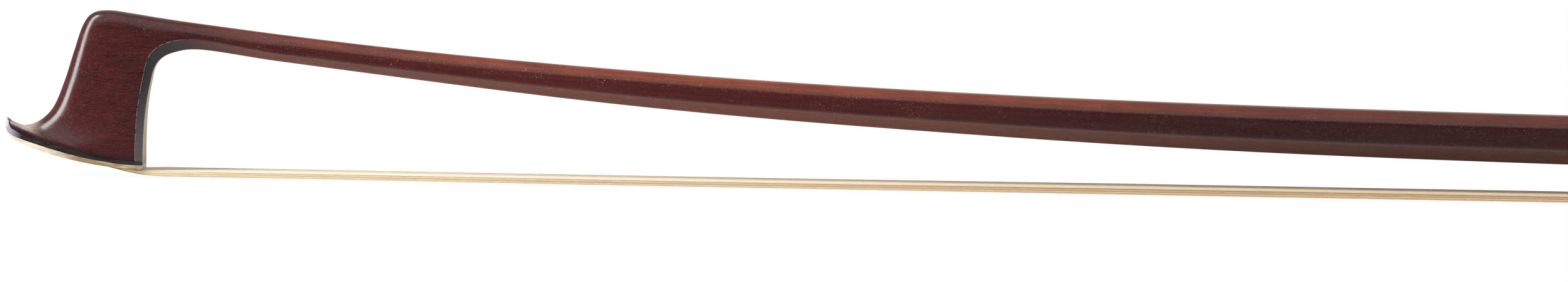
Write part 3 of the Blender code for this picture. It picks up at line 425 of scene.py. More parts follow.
def varnished_pernambuco():
    """Varnished pernambuco: red-brown heartwood whose long fibres show as fine orange streaks, with
    short dark pores. Light and wear have faded the upper flats, which also carry a painted highlight,
    the lower flats carry a painted reflection, and wear has rubbed the arrises."""
    material, shader = surface("varnished_pernambuco", "#5c2a28", Roughness=0.3, IOR=1.5)
    across = add(material, "SeparateXYZ", {0: add(material, "TexCoord").outputs["Object"]}).outputs
    grain, facets = [
        add(material, "SeparateXYZ", {0: add(material, "UVMap", uv_map=title).outputs[0]}).outputs
        for title in ("grain", "facets")
    ]
    fibre = add(material, "CombineXYZ", {0: grain[0], 1: across[1], 2: grain[1]}).outputs[0]

    def streaks(length, width, detail=2.0):
        """Noise drawn out along the fibres."""
        return grained(material, fibre, (length, width, width), detail)

    def shown(*factors):
        """How much of a layer shows: a product whose factors rise and fall smoothly."""
        return product(material, *factors, soft=True)

    # Where a point is: its place across the flats, its distance from the tip and its height
    place = product(material, facets[0], 5.0)
    distance = product(material, facets[1], 1 / MM)
    height = product(material, across[2], 1 / MM)
    behind_head = shown((distance, 30.0, 60.0))
    under = shown((place, 2.97, 3.03))

    # The wood: dark on the sides, lighter on the upper flats, partly faded and partly a painted
    # highlight, and lighter underneath as a painted reflection of the hair and paper below
    broad = shown((streaks(60.0, 0.55, 3.0), 0.36, 0.66))
    fine = shown((streaks(7.0, 0.13), 0.3, 0.7))
    clouds = shown((streaks(6.0, 3.5), 0.35, 0.65))
    pores = shown((streaks(1.1, 0.09, 1.0), 0.6, 0.74))
    speckle = streaks(0.35, 0.13)
    side = painted(
        material, "#2c1418",
        ("#3a171a", clouds),
        ("#652c25", shown(fine, 0.45)),
        ("#5c1814", shown(behind_head, 0.6)),
        ("#2c0d0e", shown(behind_head, broad, 0.4)),
        ("#2b0e10", shown((distance, 110.0, 205.0), 0.85)),
    )
    # The upper flats: faded wood with a painted highlight, weaker near the head and past 120 mm
    faded_and_highlit = painted(
        material, "#682a20",
        ("#843c2a", clouds),
        ("#9c5036", shown(fine, 0.4)),
        ("#924628", shown(broad, 0.4)),
        ("#4a1c16", shown((distance, 60.0, 95.0, 0.35, 0.0))),
        ("#3d201b", shown((distance, 120.0, 230.0), 0.65)),
    )
    wood = painted(
        material, side,
        # the upper flats, faded and with a painted highlight
        (faded_and_highlit, shown((place, 1.75, 2.12, 1.0, 0.0), (distance, 16.0, 46.0))),
        # the lower flats, a painted reflection of the hair and paper below
        ("#8f6156", shown(under, (distance, 150.0, 230.0, 0.3, 0.12))),
        ("#1d0d0e", shown(pores, 0.45)),
        ("#260c0c", shown((speckle, 0.5, 0.75, 0.0, 0.35))),
        ("#8c4030", shown((speckle, 0.25, 0.5, 0.22, 0.0))),
    )

    # The nose is rubbed bare and painted pale, partly a painted highlight where it faces up, and the
    # wood is darker along the joint with the liner
    start, slope, bend = JOINT_CURVE
    steep = add(material, "Math", {0: distance, 1: bend, 2: slope}, operation="MULTIPLY_ADD")
    joint = add(material, "Math", {0: distance, 1: steep.outputs[0], 2: start}, operation="MULTIPLY_ADD")
    above = add(material, "Math", {0: height, 1: joint.outputs[0]}, operation="SUBTRACT").outputs[0]
    patchy = (streaks(0.5, 0.3, 3.0), 0.3, 0.65, 0.6, 1.0)
    bare_and_highlit = shown((distance, 3.5, 7.0, 1.0, 0.0), (above, 0.3, 0.9), patchy)
    # Darker along the joint with the liner, with a dark line at the joint and at the very tip
    darker_by_joint = shown((above, 0.0, 1.2, 0.6, 0.0), (distance, 3.0, 9.0, 0.4, 1.0))
    for line in ((above, 0.05, 0.3, 0.85, 0.0), (distance, 1.3, 1.7, 0.85, 0.0)):
        darker_by_joint = add(material, "Math", {0: darker_by_joint, 1: shown(line)}, operation="MAXIMUM").outputs[0]

    # Dust lies in patches, and along the arris under the upper flats
    offsets = [add(material, "Math", {0: place, 1: line}, operation="SUBTRACT") for line in (2.0, 2.95)]
    arris, edge = [
        add(material, "Math", {0: offset.outputs[0]}, operation="ABSOLUTE").outputs[0] for offset in offsets
    ]
    patches = shown((streaks(5.0, 2.0), 0.45, 0.7))
    beside = shown((arris, 0.1, 0.5, 0.5, 0.0))
    gathered = add(material, "Math", {0: patches, 1: beside}, operation="ADD").outputs[0]
    thinning = ((distance, 28.0, 55.0, 0.2, 0.65), (distance, 90.0, 160.0, 1.0, 0.5))
    dust = shown((streaks(0.17, 0.12), 0.65, 0.73), gathered, *thinning)

    # The chamfer behind the head is stained, greyer towards the bottom, with a worn line along its edge
    # and rosin at its back
    greyer_below = shown((height, 4.0, 17.0, 0.6, 0.0), (streaks(0.4, 0.15, 3.0), 0.2, 0.6, 0.5, 1.0))
    stain = painted(material, "#150a0d", ("#776e76", greyer_below))
    broken = (streaks(0.9, 0.4), 0.4, 0.5)
    worn = shown((edge, 0.0, 0.04, 1.0, 0.0), broken, (distance, 22.0, 32.0, 1.0, 0.0))
    rosin = shown((place, 4.05, 4.2), (distance, 24.0, 31.0, 0.9, 0.0))
    wood = painted(
        material, wood,
        # the bare nose, pale partly as a painted highlight
        ("#c2b2a6", bare_and_highlit),
        ("#191118", shown(darker_by_joint, (distance, 23.0, 26.0, 1.0, 0.0))),
        ("#e0d0c4", dust),
        (stain, shown(under, (distance, 24.0, 40.0, 1.0, 0.0))),
        ("#ddd0c8", worn),
        ("#d2b990", shown(rosin, (streaks(0.5, 0.12, 3.0), 0.3, 0.5))),
    )

    # The varnish is glossiest on the head and dull under rosin, and pores sink into it
    polish = shown((streaks(14.0, 1.5), 0.3, 0.7, 0.18, 0.24))
    handled = shown((distance, 20.0, 60.0, 0.0, 0.08))
    gloss = add(material, "Math", {0: polish, 1: handled}, operation="ADD").outputs[0]
    gloss = add(material, "Math", {0: rosin, 1: 0.4, 2: gloss}, operation="MULTIPLY_ADD").outputs[0]
    relief = add(material, "Math", {0: pores, 1: -0.6, 2: shown(fine, 0.2)}, operation="MULTIPLY_ADD")
    bump = add(material, "Bump", {"Height": relief.outputs[0], "Strength": 0.2, "Distance": 0.03 * MM})
    return finished(material, shader, Base_Color=wood, Roughness=gloss, Normal=bump.outputs[0])


# Side-view curves of the joints under the wood, as (distance, height)
LINER_JOINT = (
    (1.20, 9.90), (1.17, 8.60), (1.26, 7.80), (1.60, 7.22), (2.20, 6.88), (3.60, 6.22),
    (5.80, 5.50), (9.20, 4.68), (13.70, 3.64), (19.00, 2.75), (24.00, 2.27),
)
JOINT_STEPS = 4
CUT_HALF_WIDTH = 8.0

# Sections of the mortise, as front, back, half-width and height, from below the mouth to its top
MORTISE = ((10.6, 18.6, 3.0, -1.0), (10.6, 18.6, 3.0, 0.5), (11.4, 17.8, 2.1, 9.2))


def mortise():
    """The pocket in the head for the knot, wider at its mouth."""
    return skin("mortise", [
        [(front, -half, height), (back, -half, height), (back, half, height), (front, half, height)]
        for front, back, half, height in MORTISE
    ])


# The handle's axis, and a place on it that turns X along it
joints = {joint["name"]: joint for joint in frame["joints"]}
HANDLE_ORIGIN = Vector(joints["screw_turn"]["pos_m"])
HANDLE_WAY = Vector(joints["frog_slide"]["axis"])
HANDLE_TURN = Matrix.Rotation(-math.atan2(HANDLE_WAY.z, HANDLE_WAY.x), 4, "Y")
ON_HANDLE = Matrix.Translation(HANDLE_ORIGIN) @ HANDLE_TURN
ROUND_SIDES = 64

# Round parts as radius, start and stop along the handle, and the slot as its ends along X, Y and Z
NIPPLE = (2.3, 55.0, 59.8)
BORE = (1.6, 5.5, 61.0)
EYELET_SLOT = ((17.5, 28.5), (-2.5, 2.5), (-8.0, 2.7))

# What is cut away under the liner's joint, as (distance, height) points that follow that curve
BELOW_HEAD = ((26.0, 2.2), (26.0, -4.0), (-4.0, -4.0), (-4.0, 9.9))


def turned(name, profile, place):
    """A turned piece: (x, radius) points spun round the X axis of a place."""
    angles = [math.tau * side / ROUND_SIDES for side in range(ROUND_SIDES)]
    rings = [[(x, radius * math.sin(angle), radius * math.cos(angle)) for angle in angles]
             for x, radius in profile]
    piece = skin(name, rings, shift=0.0)
    piece.data.transform(place)
    return piece


def rod(name, radius, start, stop):
    """A round bar along the handle's axis."""
    return turned(name, ((start, radius), (stop, radius)), ON_HANDLE)


def eyelet_slot():
    """The slot in the handle that the eyelet slides in."""
    ends, (right, left), (low, high) = EYELET_SLOT
    rings = [[(x, right, low), (x, left, low), (x, left, high), (x, right, high)] for x in ends]
    slot = skin("eyelet_slot", rings, shift=0.0)
    slot.data.transform(ON_HANDLE)
    return slot


def dressed(piece, material, slot_name, body, *nodes):
    """Gives a new piece its material and its body, in place of CAD nodes. Its slot name is not used."""
    piece.data.materials.clear()
    piece.data.materials.append(material)
    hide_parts(*nodes)
    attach(piece, body)


rings = head_rings()
rings += stick_rings(THIRD_OCTAGON, HANDLE_START)
rings += stick_rings(HANDLE_START + STICK_RING_SPACING, STICK_END)
stick = skin("stick_of_pernambuco", rings)
cut(stick, rod("nipple", *NIPPLE), "UNION")
cut(stick, slab("below_liner", [*smooth(LINER_JOINT, JOINT_STEPS), *BELOW_HEAD], CUT_HALF_WIDTH))
cut(stick, mortise())
cut(stick, rod("screw_bore", *BORE))
cut(stick, eyelet_slot())
shaded(stick, 32.0)
dressed(stick, varnished_pernambuco(), "bow_wood", "stick", "stick")


# Liner: a thin layer of ebony, glued under the wood of the head and filed and polished with it. It
# backs the plate, and the mortise goes through it.

PLATE_JOINT = (
    (1.14, 9.90), (1.10, 8.80), (0.86, 8.30), (0.68, 7.70), (0.88, 7.00), (1.55, 6.25),
    (3.60, 5.42), (9.20, 3.86), (13.75, 2.83), (19.00, 2.05), (24.00, 1.72),
)
GLUE = 0.03


def shifted(points, distance):
    """An open outline moved sideways, to its left as it runs."""
    result = []
    for index, (x, z) in enumerate(points):
        before, after = points[max(index - 1, 0)], points[min(index + 1, len(points) - 1)]
        way = Vector((after[0] - before[0], after[1] - before[1])).normalized()
        result.append((x - way.y * distance, z + way.x * distance))
    return result


def lower_head(name, upper, lower):
    """The part of the head's form between two side-view curves, with the mortise through it."""
    piece = skin(name, head_rings()[:LOWER_HEAD_RINGS])
    cut(piece, slab("band", [*upper, *reversed(lower)], CUT_HALF_WIDTH), "INTERSECT")
    cut(piece, mortise())
    shaded(piece, 30.0)
    return piece


def from_tip(distance):
    """Where X is at a distance from the tip of the head, in metres."""
    return (HEAD_TIP + distance) * MM


def polished_ebony():
    """Polished ebony: nearly black heartwood, so dense that it takes a polish like a stone's, with
    faint brown streaks and fine short pores. Rosin has dusted the liner's back, and its nose is
    painted lavender grey, a painted sheen of light."""
    material, shader = surface("polished_ebony", "#17130f", IOR=1.52)
    spot = add(material, "TexCoord").outputs["Object"]
    facets = add(material, "SeparateXYZ", {0: add(material, "UVMap", uv_map="facets").outputs[0]}).outputs
    x = add(material, "SeparateXYZ", {0: spot}).outputs[0]
    streak = grained(material, spot, (30.0, 0.6, 0.6), 3.0)
    rosin = product(material, (facets[0], 0.81, 0.84, 0.0, 0.9))
    colour = painted(
        material, "#171417",
        ("#2a211f", product(material, (streak, 0.42, 0.7))),
        ("#c9b497", rosin),
        # painted sheen: the nose is painted lavender grey
        ("#a29caa", product(material, (x, from_tip(0.9), from_tip(3.6), 0.85, 0.0), soft=True)),
    )
    pore = product(material, (grained(material, spot, (1.6, 0.12, 0.12), 1.0), 0.62, 0.72))
    bump = add(material, "Bump", {"Height": pore, "Strength": 0.3, "Distance": 0.02 * MM}, invert=True)
    gloss = {0: rosin, 1: 0.4, 2: product(material, (streak, 0.3, 0.7, 0.2, 0.34))}
    gloss = add(material, "Math", gloss, operation="MULTIPLY_ADD").outputs[0]
    return finished(material, shader, Base_Color=colour, Roughness=gloss, Normal=bump.outputs[0])


ebony = polished_ebony()
joint = smooth(LINER_JOINT, JOINT_STEPS)
liner = lower_head("liner_of_ebony", shifted(joint, -GLUE), smooth(PLATE_JOINT, JOINT_STEPS))
dressed(liner, ebony, "ebony", "stick", "tip_liner")


# Face plate: bone, filed to a thin sheet, bent up over the nose and glued under the liner. It has
# yellowed, and dirt has browned it along the joint and where the hair comes out.

NOSE = ((1.15, 9.65), (0.95, 9.05), (0.49, 7.90), (0.0, 6.65))
PLATE_BOTTOM = ((0.0, 6.65), (1.2, 6.05), (3.2, 4.88), (8.2, 3.25), (15.0, 1.85), (24.0, 0.85))


def old_bone():
    """Old bone: cream white and a little translucent, with short grey-brown grain lines where
    vessels ran, and brown stains from handling."""
    material, shader = surface("old_bone", "#e8dfc9", Roughness=0.38, IOR=1.54,
                               Subsurface_Weight=0.12, Subsurface_Scale=0.0006)
    spot = add(material, "TexCoord").outputs["Object"]
    x = add(material, "SeparateXYZ", {0: spot}).outputs[0]
    vessel = product(material, (grained(material, spot, (3.5, 0.5, 0.5), 3.0), 0.48, 0.72, 0.0, 0.5))
    stain = product(material, (grained(material, spot, (5.0, 2.0, 1.2), 3.0), 0.37, 0.6),
                    (x, from_tip(3.0), from_tip(11.0), 0.25, 1.0))
    # Where the plate is thin at the nose it is painted grey, partly for its translucency and partly as
    # painted shade
    thin = product(material, (x, from_tip(0.5), from_tip(2.0), 0.6, 0.0))
    colour = painted(material, "#d8ccb6", ("#b39c78", vessel), ("#927a54", stain), ("#bdb8c0", thin))
    bump = add(material, "Bump", {"Height": vessel, "Strength": 0.2, "Distance": 0.02 * MM}, invert=True)
    return finished(material, shader, Base_Color=colour, Normal=bump.outputs[0])


joint = smooth(PLATE_JOINT, JOINT_STEPS)
bottom = [*NOSE[:-1], *smooth(PLATE_BOTTOM, JOINT_STEPS)]
plate = lower_head("face_plate_of_bone", shifted(joint, -GLUE), bottom)
dressed(plate, old_bone(), "bone", "stick", "tip_plate")


# Knots, plugs and wedge: each end of the hair is knotted with waxed thread and held in a mortise by
# a plug of maple, and a maple wedge spreads the hair in the ferrule.

def cut_maple():
    """Bare maple, cut with a knife: pale, with fine brown flecks along the grain."""
    material, shader = surface("cut_maple", "#c9a06a", Roughness=0.55)
    fleck = grained(material, add(material, "TexCoord").outputs["Object"], (0.2, 0.2, 6.0))
    colour = painted(material, "#d8b684", ("#a97c4a", product(material, (fleck, 0.35, 0.7))))
    bump = add(material, "Bump", {"Height": fleck, "Strength": 0.3, "Distance": 0.03 * MM})
    return finished(material, shader, Base_Color=colour, Normal=bump.outputs[0])


THREAD_PITCH = 0.2


def waxed_silk():
    """Waxed silk thread, wound tightly, so its turns show as even ridges one thread apart."""
    material, shader = surface("waxed_silk", "#7a1f1c", Roughness=0.45)
    spot = add(material, "TexCoord").outputs["Object"]
    wave = {"Vector": spot, "Scale": math.tau / (20 * THREAD_PITCH * MM), "Distortion": 0.2}
    turns = add(material, "TexWave", wave, bands_direction="Z").outputs["Fac"]
    # The grooves between the turns are painted darker, as painted shade
    colour = painted(material, "#4d1412", ("#8f2a24", turns))
    bump = add(material, "Bump", {"Height": turns, "Strength": 0.6, "Distance": 0.05 * MM})
    return finished(material, shader, Base_Color=colour, Normal=bump.outputs[0])


def finish_nodes(material, *names):
    """Gives CAD nodes whose shape is right their material."""
    for name in names:
        node = frame["nodes"][name]
        node.data.materials.clear()
        node.data.materials.append(material)


maple = cut_maple()
silk = waxed_silk()
finish_nodes(maple, "tip_plug", "spread_wedge", "frog_plug")
finish_nodes(silk, "tip_knot_thread", "frog_knot_thread")


# Hair: white horse hair in a flat ribbon of 416 strands, 52 across and 8 deep, each drawn as thick
# as a real one. They come out of the knot in the head, fan out under the plate, and run through the
# ferrule to the knot in the frog.

# Sections of the hair in the head, as distance and height of its lower and its upper edge, then
# half its width
TIP_HAIR = (
    (13.8, 8.70, 16.9, 8.70, 1.60),
    (13.9, 7.00, 16.8, 7.00, 1.60),
    (13.5, 5.60, 17.7, 5.60, 2.10),
    (13.6, 3.60, 18.1, 3.60, 2.45),
    (13.9, 2.45, 18.4, 2.05, 2.75),
    (16.4, 1.60, 18.6, 1.60, 2.95),
    (18.2, 1.16, 19.3, 1.30, 3.30),
    (20.1, 0.74, 20.6, 1.14, 3.75),
    (22.1, 0.40, 22.4, 0.97, 4.20),
    (24.1, 0.22, 24.2, 1.00, 4.50),
    (26.0, 0.14, 26.0, 1.04, 4.60),
)

# Free hair, as (distance, lift above the straight line, thickness, half-width)
FREE_HAIR = (
    (36.0, 0.15, 0.90, 4.62),
    (50.0, 0.14, 0.90, 4.64),
    (90.0, 0.02, 0.98, 4.70),
    (130.0, 0.0, 1.02, 4.75),
    (180.0, 0.02, 1.12, 4.80),
    (260.0, 0.02, 1.12, 4.90),
    (450.0, 0.0, 1.05, 5.20),
    (670.0, 0.0, 1.0, 5.40),
)

# Sections of the hair in the frog, from the handle's origin and up from the frog's underside
FROG_HAIR = (
    (9.0, 0.5, 8.8, 1.5, 5.4),
    (10.2, 1.0, 9.9, 1.95, 5.4),
    (13.6, 2.22, 13.2, 3.25, 5.4),
    (19.8, 2.22, 19.7, 3.25, 4.0),
    (25.6, 2.22, 20.2, 3.9, 3.9),
    (26.0, 3.9, 19.9, 4.5, 3.6),
    (25.4, 5.7, 20.4, 5.7, 2.6),
    (25.4, 7.1, 20.4, 7.1, 2.6),
    (25.6, 8.5, 20.2, 8.5, 3.0),
)
STRANDS_ACROSS = 52
STRANDS_DEEP = 8
STRAND_RADIUS = 0.095
STRAND_SIZES = (0.8, 1.05)
STRAND_SIDES = 4

# How far strands stray sideways, the share of that upwards, and by how many layers and columns
WANDER = 0.06
WANDER_UP = 0.4
LAYER_SCATTER = 0.6
COLUMN_SCATTER = 0.7

# A strand's tone runs from 0 to 1: how tones gather at the light end, and the share of it that a
# strand of the lowest layer keeps, so that lower layers are painted darker as shade
TONE_POWER = 0.6
LOWEST_TONE = 0.6


def handle_point(x, depth):
    """A point of the frog, given along the handle's axis and up from the frog's underside."""
    local = Vector((x * MM, 0.0, (depth - FROG_DEPTH) * MM))
    spot = (HANDLE_ORIGIN + HANDLE_TURN.to_3x3() @ local) / MM
    return spot.x - HEAD_TIP, spot.z


def hair_stations():
    """Sections of the whole bundle: its lower edge, its upper edge and half its width."""
    stations = smooth(TIP_HAIR, 2)
    for x, lift, thick, half in FREE_HAIR:
        low = hair_floor(x) + lift
        stations.append((x, low, x, low + thick, half))
    rows = [(*handle_point(*row[0:2]), *handle_point(*row[2:4]), row[4]) for row in FROG_HAIR]
    return stations + smooth(rows, 2)


def hank(name):
    """All the strands as one piece. One strand is made from a grid, repeated, and each copy is then
    laid along its own line through the stations."""
    stations = np.array(hair_stations())
    count, total = len(stations), STRANDS_ACROSS * STRANDS_DEEP
    angles = [math.tau * side / STRAND_SIDES for side in range(STRAND_SIDES)]
    rings = [[(step, math.cos(angle), math.sin(angle)) for angle in angles] for step in range(count)]
    strand = skin(name, rings, shift=0.0)
    local = np.array([vertex.co for vertex in strand.data.vertices]) / MM
    copies = strand.modifiers.new("copies", "ARRAY")
    copies.count = total
    copies.use_merge_vertices = False
    bpy.ops.object.modifier_apply(modifier=copies.name)
    random = np.random.default_rng(7)
    low, across = stations[:, 0:2], stations[:, 2:4] - stations[:, 0:2]
    thick = np.linalg.norm(across, axis=1)
    deep = across / thick[:, None]
    inset = STRAND_RADIUS * STRAND_SIZES[1]
    row = np.rint(local[:, 0]).astype(int)
    placed, tones = [], []
    for index in range(total):
        column, layer = index % STRANDS_ACROSS, index // STRANDS_ACROSS
        wander = random.normal(0.0, WANDER, (2, count))
        wander = (wander + np.roll(wander, 1, axis=1) + np.roll(wander, -1, axis=1)) / 3
        layer += random.uniform(-LAYER_SCATTER, LAYER_SCATTER)
        depth = min(max(layer, 0.0), STRANDS_DEEP - 1) / (STRANDS_DEEP - 1)
        share = (inset + (thick - 2 * inset) * depth) / thick
        centre = low + across * share[:, None] + deep * wander[0][:, None] * WANDER_UP
        column += random.uniform(-COLUMN_SCATTER, COLUMN_SCATTER)
        column = min(max(column, 0.0), STRANDS_ACROSS - 1)
        side = (2 * column / (STRANDS_ACROSS - 1) - 1) * (stations[:, 4] - inset) + wander[1]
        radius = STRAND_RADIUS * random.uniform(*STRAND_SIZES)
        spot = np.empty_like(local)
        spot[:, 0] = centre[row, 0] + deep[row, 0] * local[:, 2] * radius
        spot[:, 2] = centre[row, 1] + deep[row, 1] * local[:, 2] * radius
        spot[:, 1] = side[row] + local[:, 1] * radius
        placed.append(spot)
        # the tone is random, and lower layers are painted darker as shade
        tone = random.uniform(0.0, 1.0) ** TONE_POWER * (LOWEST_TONE + (1 - LOWEST_TONE) * depth)
        tones.append(np.full(len(local), tone))
    spots = np.concatenate(placed)
    spots[:, 0] += HEAD_TIP
    spots[:, 2] = np.maximum(spots[:, 2], 0.0)
    mesh = strand.data
    mesh.vertices.foreach_set("co", (spots * MM).ravel())
    mesh.attributes.new("tone", "FLOAT", "POINT").data.foreach_set("value", np.concatenate(tones))
    mesh.update()
    shaded(strand, 60.0)
    return strand


def white_horsehair():
    """White stallion hair: off-white to honey, smooth and a little translucent. Each strand has its
    own tone, and they yellow towards the frog, where rosin and hands reach them."""
    material, shader = surface("white_horsehair", "#f0e6cf", Roughness=0.36, IOR=1.55)
    tone = add(material, "Attribute", attribute_name="tone").outputs["Fac"]
    x = add(material, "SeparateXYZ", {0: add(material, "TexCoord").outputs["Object"]}).outputs[0]
    towards_frog, dark_strands = (x, from_tip(55.0), from_tip(190.0), 0.0, 0.6), (tone, 0.0, 1.0, 1.0, 0.35)
    yellowed = product(material, towards_frog, dark_strands)
    colour = painted(material, "#dabd8c", ("#f8f1e1", tone), ("#bd9155", yellowed))
    return finished(material, shader, Base_Color=colour)


hair = hank("horse_hair")
hair.data.materials.append(white_horsehair())
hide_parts("tip_hair", "hair_ribbon", "frog_hair")
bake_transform(hair)


# Winding: round silver wire, 0.34 mm thick, wound turn against turn round the stick in front of the
# leather, over all eight flats.

WINDING = (566.0, 635.8)
WIRE_RADIUS = 0.17
WIRE_SIDES = 6
WIRE_BEND = 0.07
SEAT = 0.05


def wound_wire(name):
    """One unbroken helix that follows the flats and turns the corners on a small radius."""
    start, stop = WINDING
    turns = int((stop - start) / (2 * WIRE_RADIUS))
    corner_angles = [math.pi / 8 + quarter * math.pi / 4 for quarter in range(8)]
    turn_angles = sorted(angle + off for angle in corner_angles for off in (-WIRE_BEND, WIRE_BEND))
    rings = []
    for turn in range(turns):
        for angle in turn_angles:
            x = start + WIRE_RADIUS + (turn + angle / math.tau) * 2 * WIRE_RADIUS
            if x > stop - WIRE_RADIUS:
                break
            reach = along(TAPER, x) / 2 + SEAT + WIRE_RADIUS
            facet = (angle + math.pi / 8) % (math.pi / 4) - math.pi / 8
            out = Vector((0.0, math.sin(angle), math.cos(angle)))
            centre = Vector((x, 0.0, axis_height(x))) + out * reach / math.cos(facet)
            ring = []
            for side in range(WIRE_SIDES):
                bend = math.tau * side / WIRE_SIDES
                way = Vector((math.cos(bend), 0.0, 0.0)) + out * math.sin(bend)
                ring.append(centre + way * WIRE_RADIUS)
            rings.append(ring)
    return skin(name, rings)


def polished_silver():
    """Polished silver: almost white metal with a warm cast, fine random scratches from wear, and a
    faint tarnish in soft patches."""
    material, shader = surface("polished_silver", "#e6e1d6", Metallic=1.0)
    spot = add(material, "TexCoord").outputs["Object"]
    patch = grained(material, spot, (7.143, 7.143, 7.143), 5.0, roughness=0.6)
    tarnish = product(material, (patch, 0.4, 0.8, 0.0, 0.3))
    colour = painted(material, "#e8e4db", ("#b9ae98", tarnish))
    gloss = product(material, (patch, 0.3, 0.7, 0.12, 0.24))
    scratch = grained(material, spot, (4.0, 0.08, 0.08), 1.0, turn=(0.3, 0.5, 0.2))
    scratch = product(material, (scratch, 0.6, 0.72))
    bump = add(material, "Bump", {"Height": scratch, "Strength": 0.25, "Distance": 0.01 * MM}, invert=True)
    return finished(material, shader, Base_Color=colour, Roughness=gloss, Normal=bump.outputs[0])


silver = polished_silver()
wire = wound_wire("silver_winding")
shaded(wire, 70.0)
dressed(wire, silver, "silver", "stick", "wire_winding")


# Thumb leather: a strip of goatskin with skived edges, wrapped round the stick and glued, its seam
# underneath.

LEATHER = (636.2, 668.6, 0.85)
LEATHER_SKIVE = 2.2
LEATHER_EDGE = 0.4
LEATHER_RINGS = 41
LEATHER_ROUNDING = (0.9, 0.9, 0.9, 0.9)


def leather_wrap(name):
    """The wrap as a sleeve, thinner towards both ends."""
    start, stop, wall = LEATHER
    outer = []
    for x in np.linspace(start, stop, LEATHER_RINGS):
        from_end = min(x - start, stop - x)
        share = math.sin(min(from_end / LEATHER_SKIVE, 1.0) * math.pi / 2)
        thick = LEATHER_EDGE + (wall - LEATHER_EDGE) * share
        outer.append(section_ring(stick_section(x, SEAT + thick), LEATHER_ROUNDING))
    inner = [section_ring(stick_section(x, SEAT), STICK_ROUNDING) for x in (stop, start)]
    return skin(name, [*outer, *inner, outer[0]])


def glazed_goatskin():
    """Glazed goatskin: dark brown, with the skin's pebbled grain about 0.5 mm across, worn smoother
    and shinier on the high spots."""
    material, shader = surface("glazed_goatskin", "#2c1a13", IOR=1.5)
    spot = add(material, "TexCoord").outputs["Object"]
    facets = add(material, "SeparateXYZ", {0: add(material, "UVMap", uv_map="facets").outputs[0]}).outputs
    pebble = {"Vector": spot, "Scale": 1 / (0.5 * MM)}
    pebble = add(material, "TexVoronoi", pebble, feature="SMOOTH_F1").outputs["Distance"]
    # The hollows between the pebbles are painted darker, as painted shade
    tone = product(material, (pebble, 0.1, 0.6))
    seam = product(material, (facets[0], 0.982, 0.992))
    colour = painted(material, "#3d2519", ("#24150f", tone), ("#0d0806", seam))
    gloss = product(material, (tone, 0.0, 1.0, 0.36, 0.6))
    fine = grained(material, spot, (0.1923, 0.1923, 0.1923))
    height = {0: fine, 1: 0.3, 2: product(material, pebble, 0.7)}
    height = add(material, "Math", height, operation="MULTIPLY_ADD").outputs[0]
    height = add(material, "Math", {0: height, 1: seam}, operation="ADD").outputs[0]
    bump = add(material, "Bump", {"Height": height, "Strength": 0.8, "Distance": 0.12 * MM}, invert=True)
    return finished(material, shader, Base_Color=colour, Roughness=gloss, Normal=bump.outputs[0])


leather = leather_wrap("thumb_leather_wrap")
shaded(leather, 40.0)
dressed(leather, glazed_goatskin(), "goatskin", "stick", "thumb_leather")


# Frog: a block of ebony, cut to shape and polished, its edges broken with a file. An ebony slide
# with a pearl face covers its underside.

FINER_MERGED = 2e-6
FLAT_WITHIN = math.radians(0.5)
SHARP_OVER = math.radians(30.0)
EDGE_SEGMENTS = 2


def finer(name, node, width):
    """A copy of a CAD node with its flat faces made whole and its sharp edges rounded."""
    piece = bpy.data.objects.new(name, frame["nodes"][node].data.copy())
    piece.data.name = name
    bpy.context.collection.objects.link(piece)
    bpy.ops.object.select_all(action="DESELECT")
    bpy.context.view_layer.objects.active = piece
    piece.select_set(True)
    bpy.ops.mesh.customdata_custom_splitnormals_clear()
    bpy.ops.object.mode_set(mode="EDIT")
    bpy.ops.mesh.select_all(action="SELECT")
    bpy.ops.mesh.remove_doubles(threshold=FINER_MERGED)
    bpy.ops.mesh.dissolve_limited(angle_limit=FLAT_WITHIN)
    bpy.ops.object.mode_set(mode="OBJECT")
    bevel = piece.modifiers.new("broken_edges", "BEVEL")
    bevel.width = width * MM
    bevel.segments = EDGE_SEGMENTS
    bevel.limit_method = "ANGLE"
    bevel.angle_limit = SHARP_OVER
    bpy.ops.object.modifier_apply(modifier=bevel.name)
    shaded(piece, 40.0)
    flat = piece.modifiers.new("flat_faces", "WEIGHTED_NORMAL")
    flat.weight = 100
    flat.keep_sharp = True
    bpy.ops.object.modifier_apply(modifier=flat.name)
    return piece


dressed(finer("ebony_frog", "frog_block", 0.2), ebony, "ebony", "frog", "frog_block")
dressed(finer("ebony_slide", "slide_base", 0.06), ebony, "ebony", "frog", "slide_base")


# Silver of the frog: the lining of its channel, the ferrule, the heel plate with its pins, and the
# rings round the eyes, all of sheet silver, filed flush and polished.

SILVER_NODES = {
    "underslide": ("channel_lining", 0.06),
    "ferrule": ("silver_ferrule", 0.12),
    "heel_plate": ("silver_heel_plate", 0.12),
}
for node, (name, width) in SILVER_NODES.items():
    dressed(finer(name, node, width), silver, "silver", "frog", node)
finish_nodes(silver, "underslide_pin_front", "underslide_pin_rear")


def facing(node, outward, length):
    """The place of a turned part whose outer end faces outward, the CAD node round its middle."""
    low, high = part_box(node)
    place = Matrix.Translation((Vector(low) + Vector(high)) / 2 + outward * length / 2 * MM)
    return place @ outward.to_track_quat("X", "Z").to_matrix().to_4x4()


HEEL_PIN_LENGTH = 3.0

# Profiles of turned parts, as (x, radius) with the outer face at x = 0
HEEL_PIN = ((-HEEL_PIN_LENGTH, 0.5), (-0.01, 0.5), (-0.01, 0.6), (0.01, 0.6), (0.02, 0.58))
handle_down = HANDLE_TURN.to_3x3() @ Vector((0.0, 0.0, -1.0))
for word, outward in (("upper", HANDLE_WAY), ("lower", HANDLE_WAY), ("under", handle_down)):
    node = "heel_pin_" + word
    pin = turned(word + "_heel_pin", HEEL_PIN, facing(node, outward, HEEL_PIN_LENGTH))
    shaded(pin, 25.0)
    dressed(pin, silver, "silver", "frog", node)

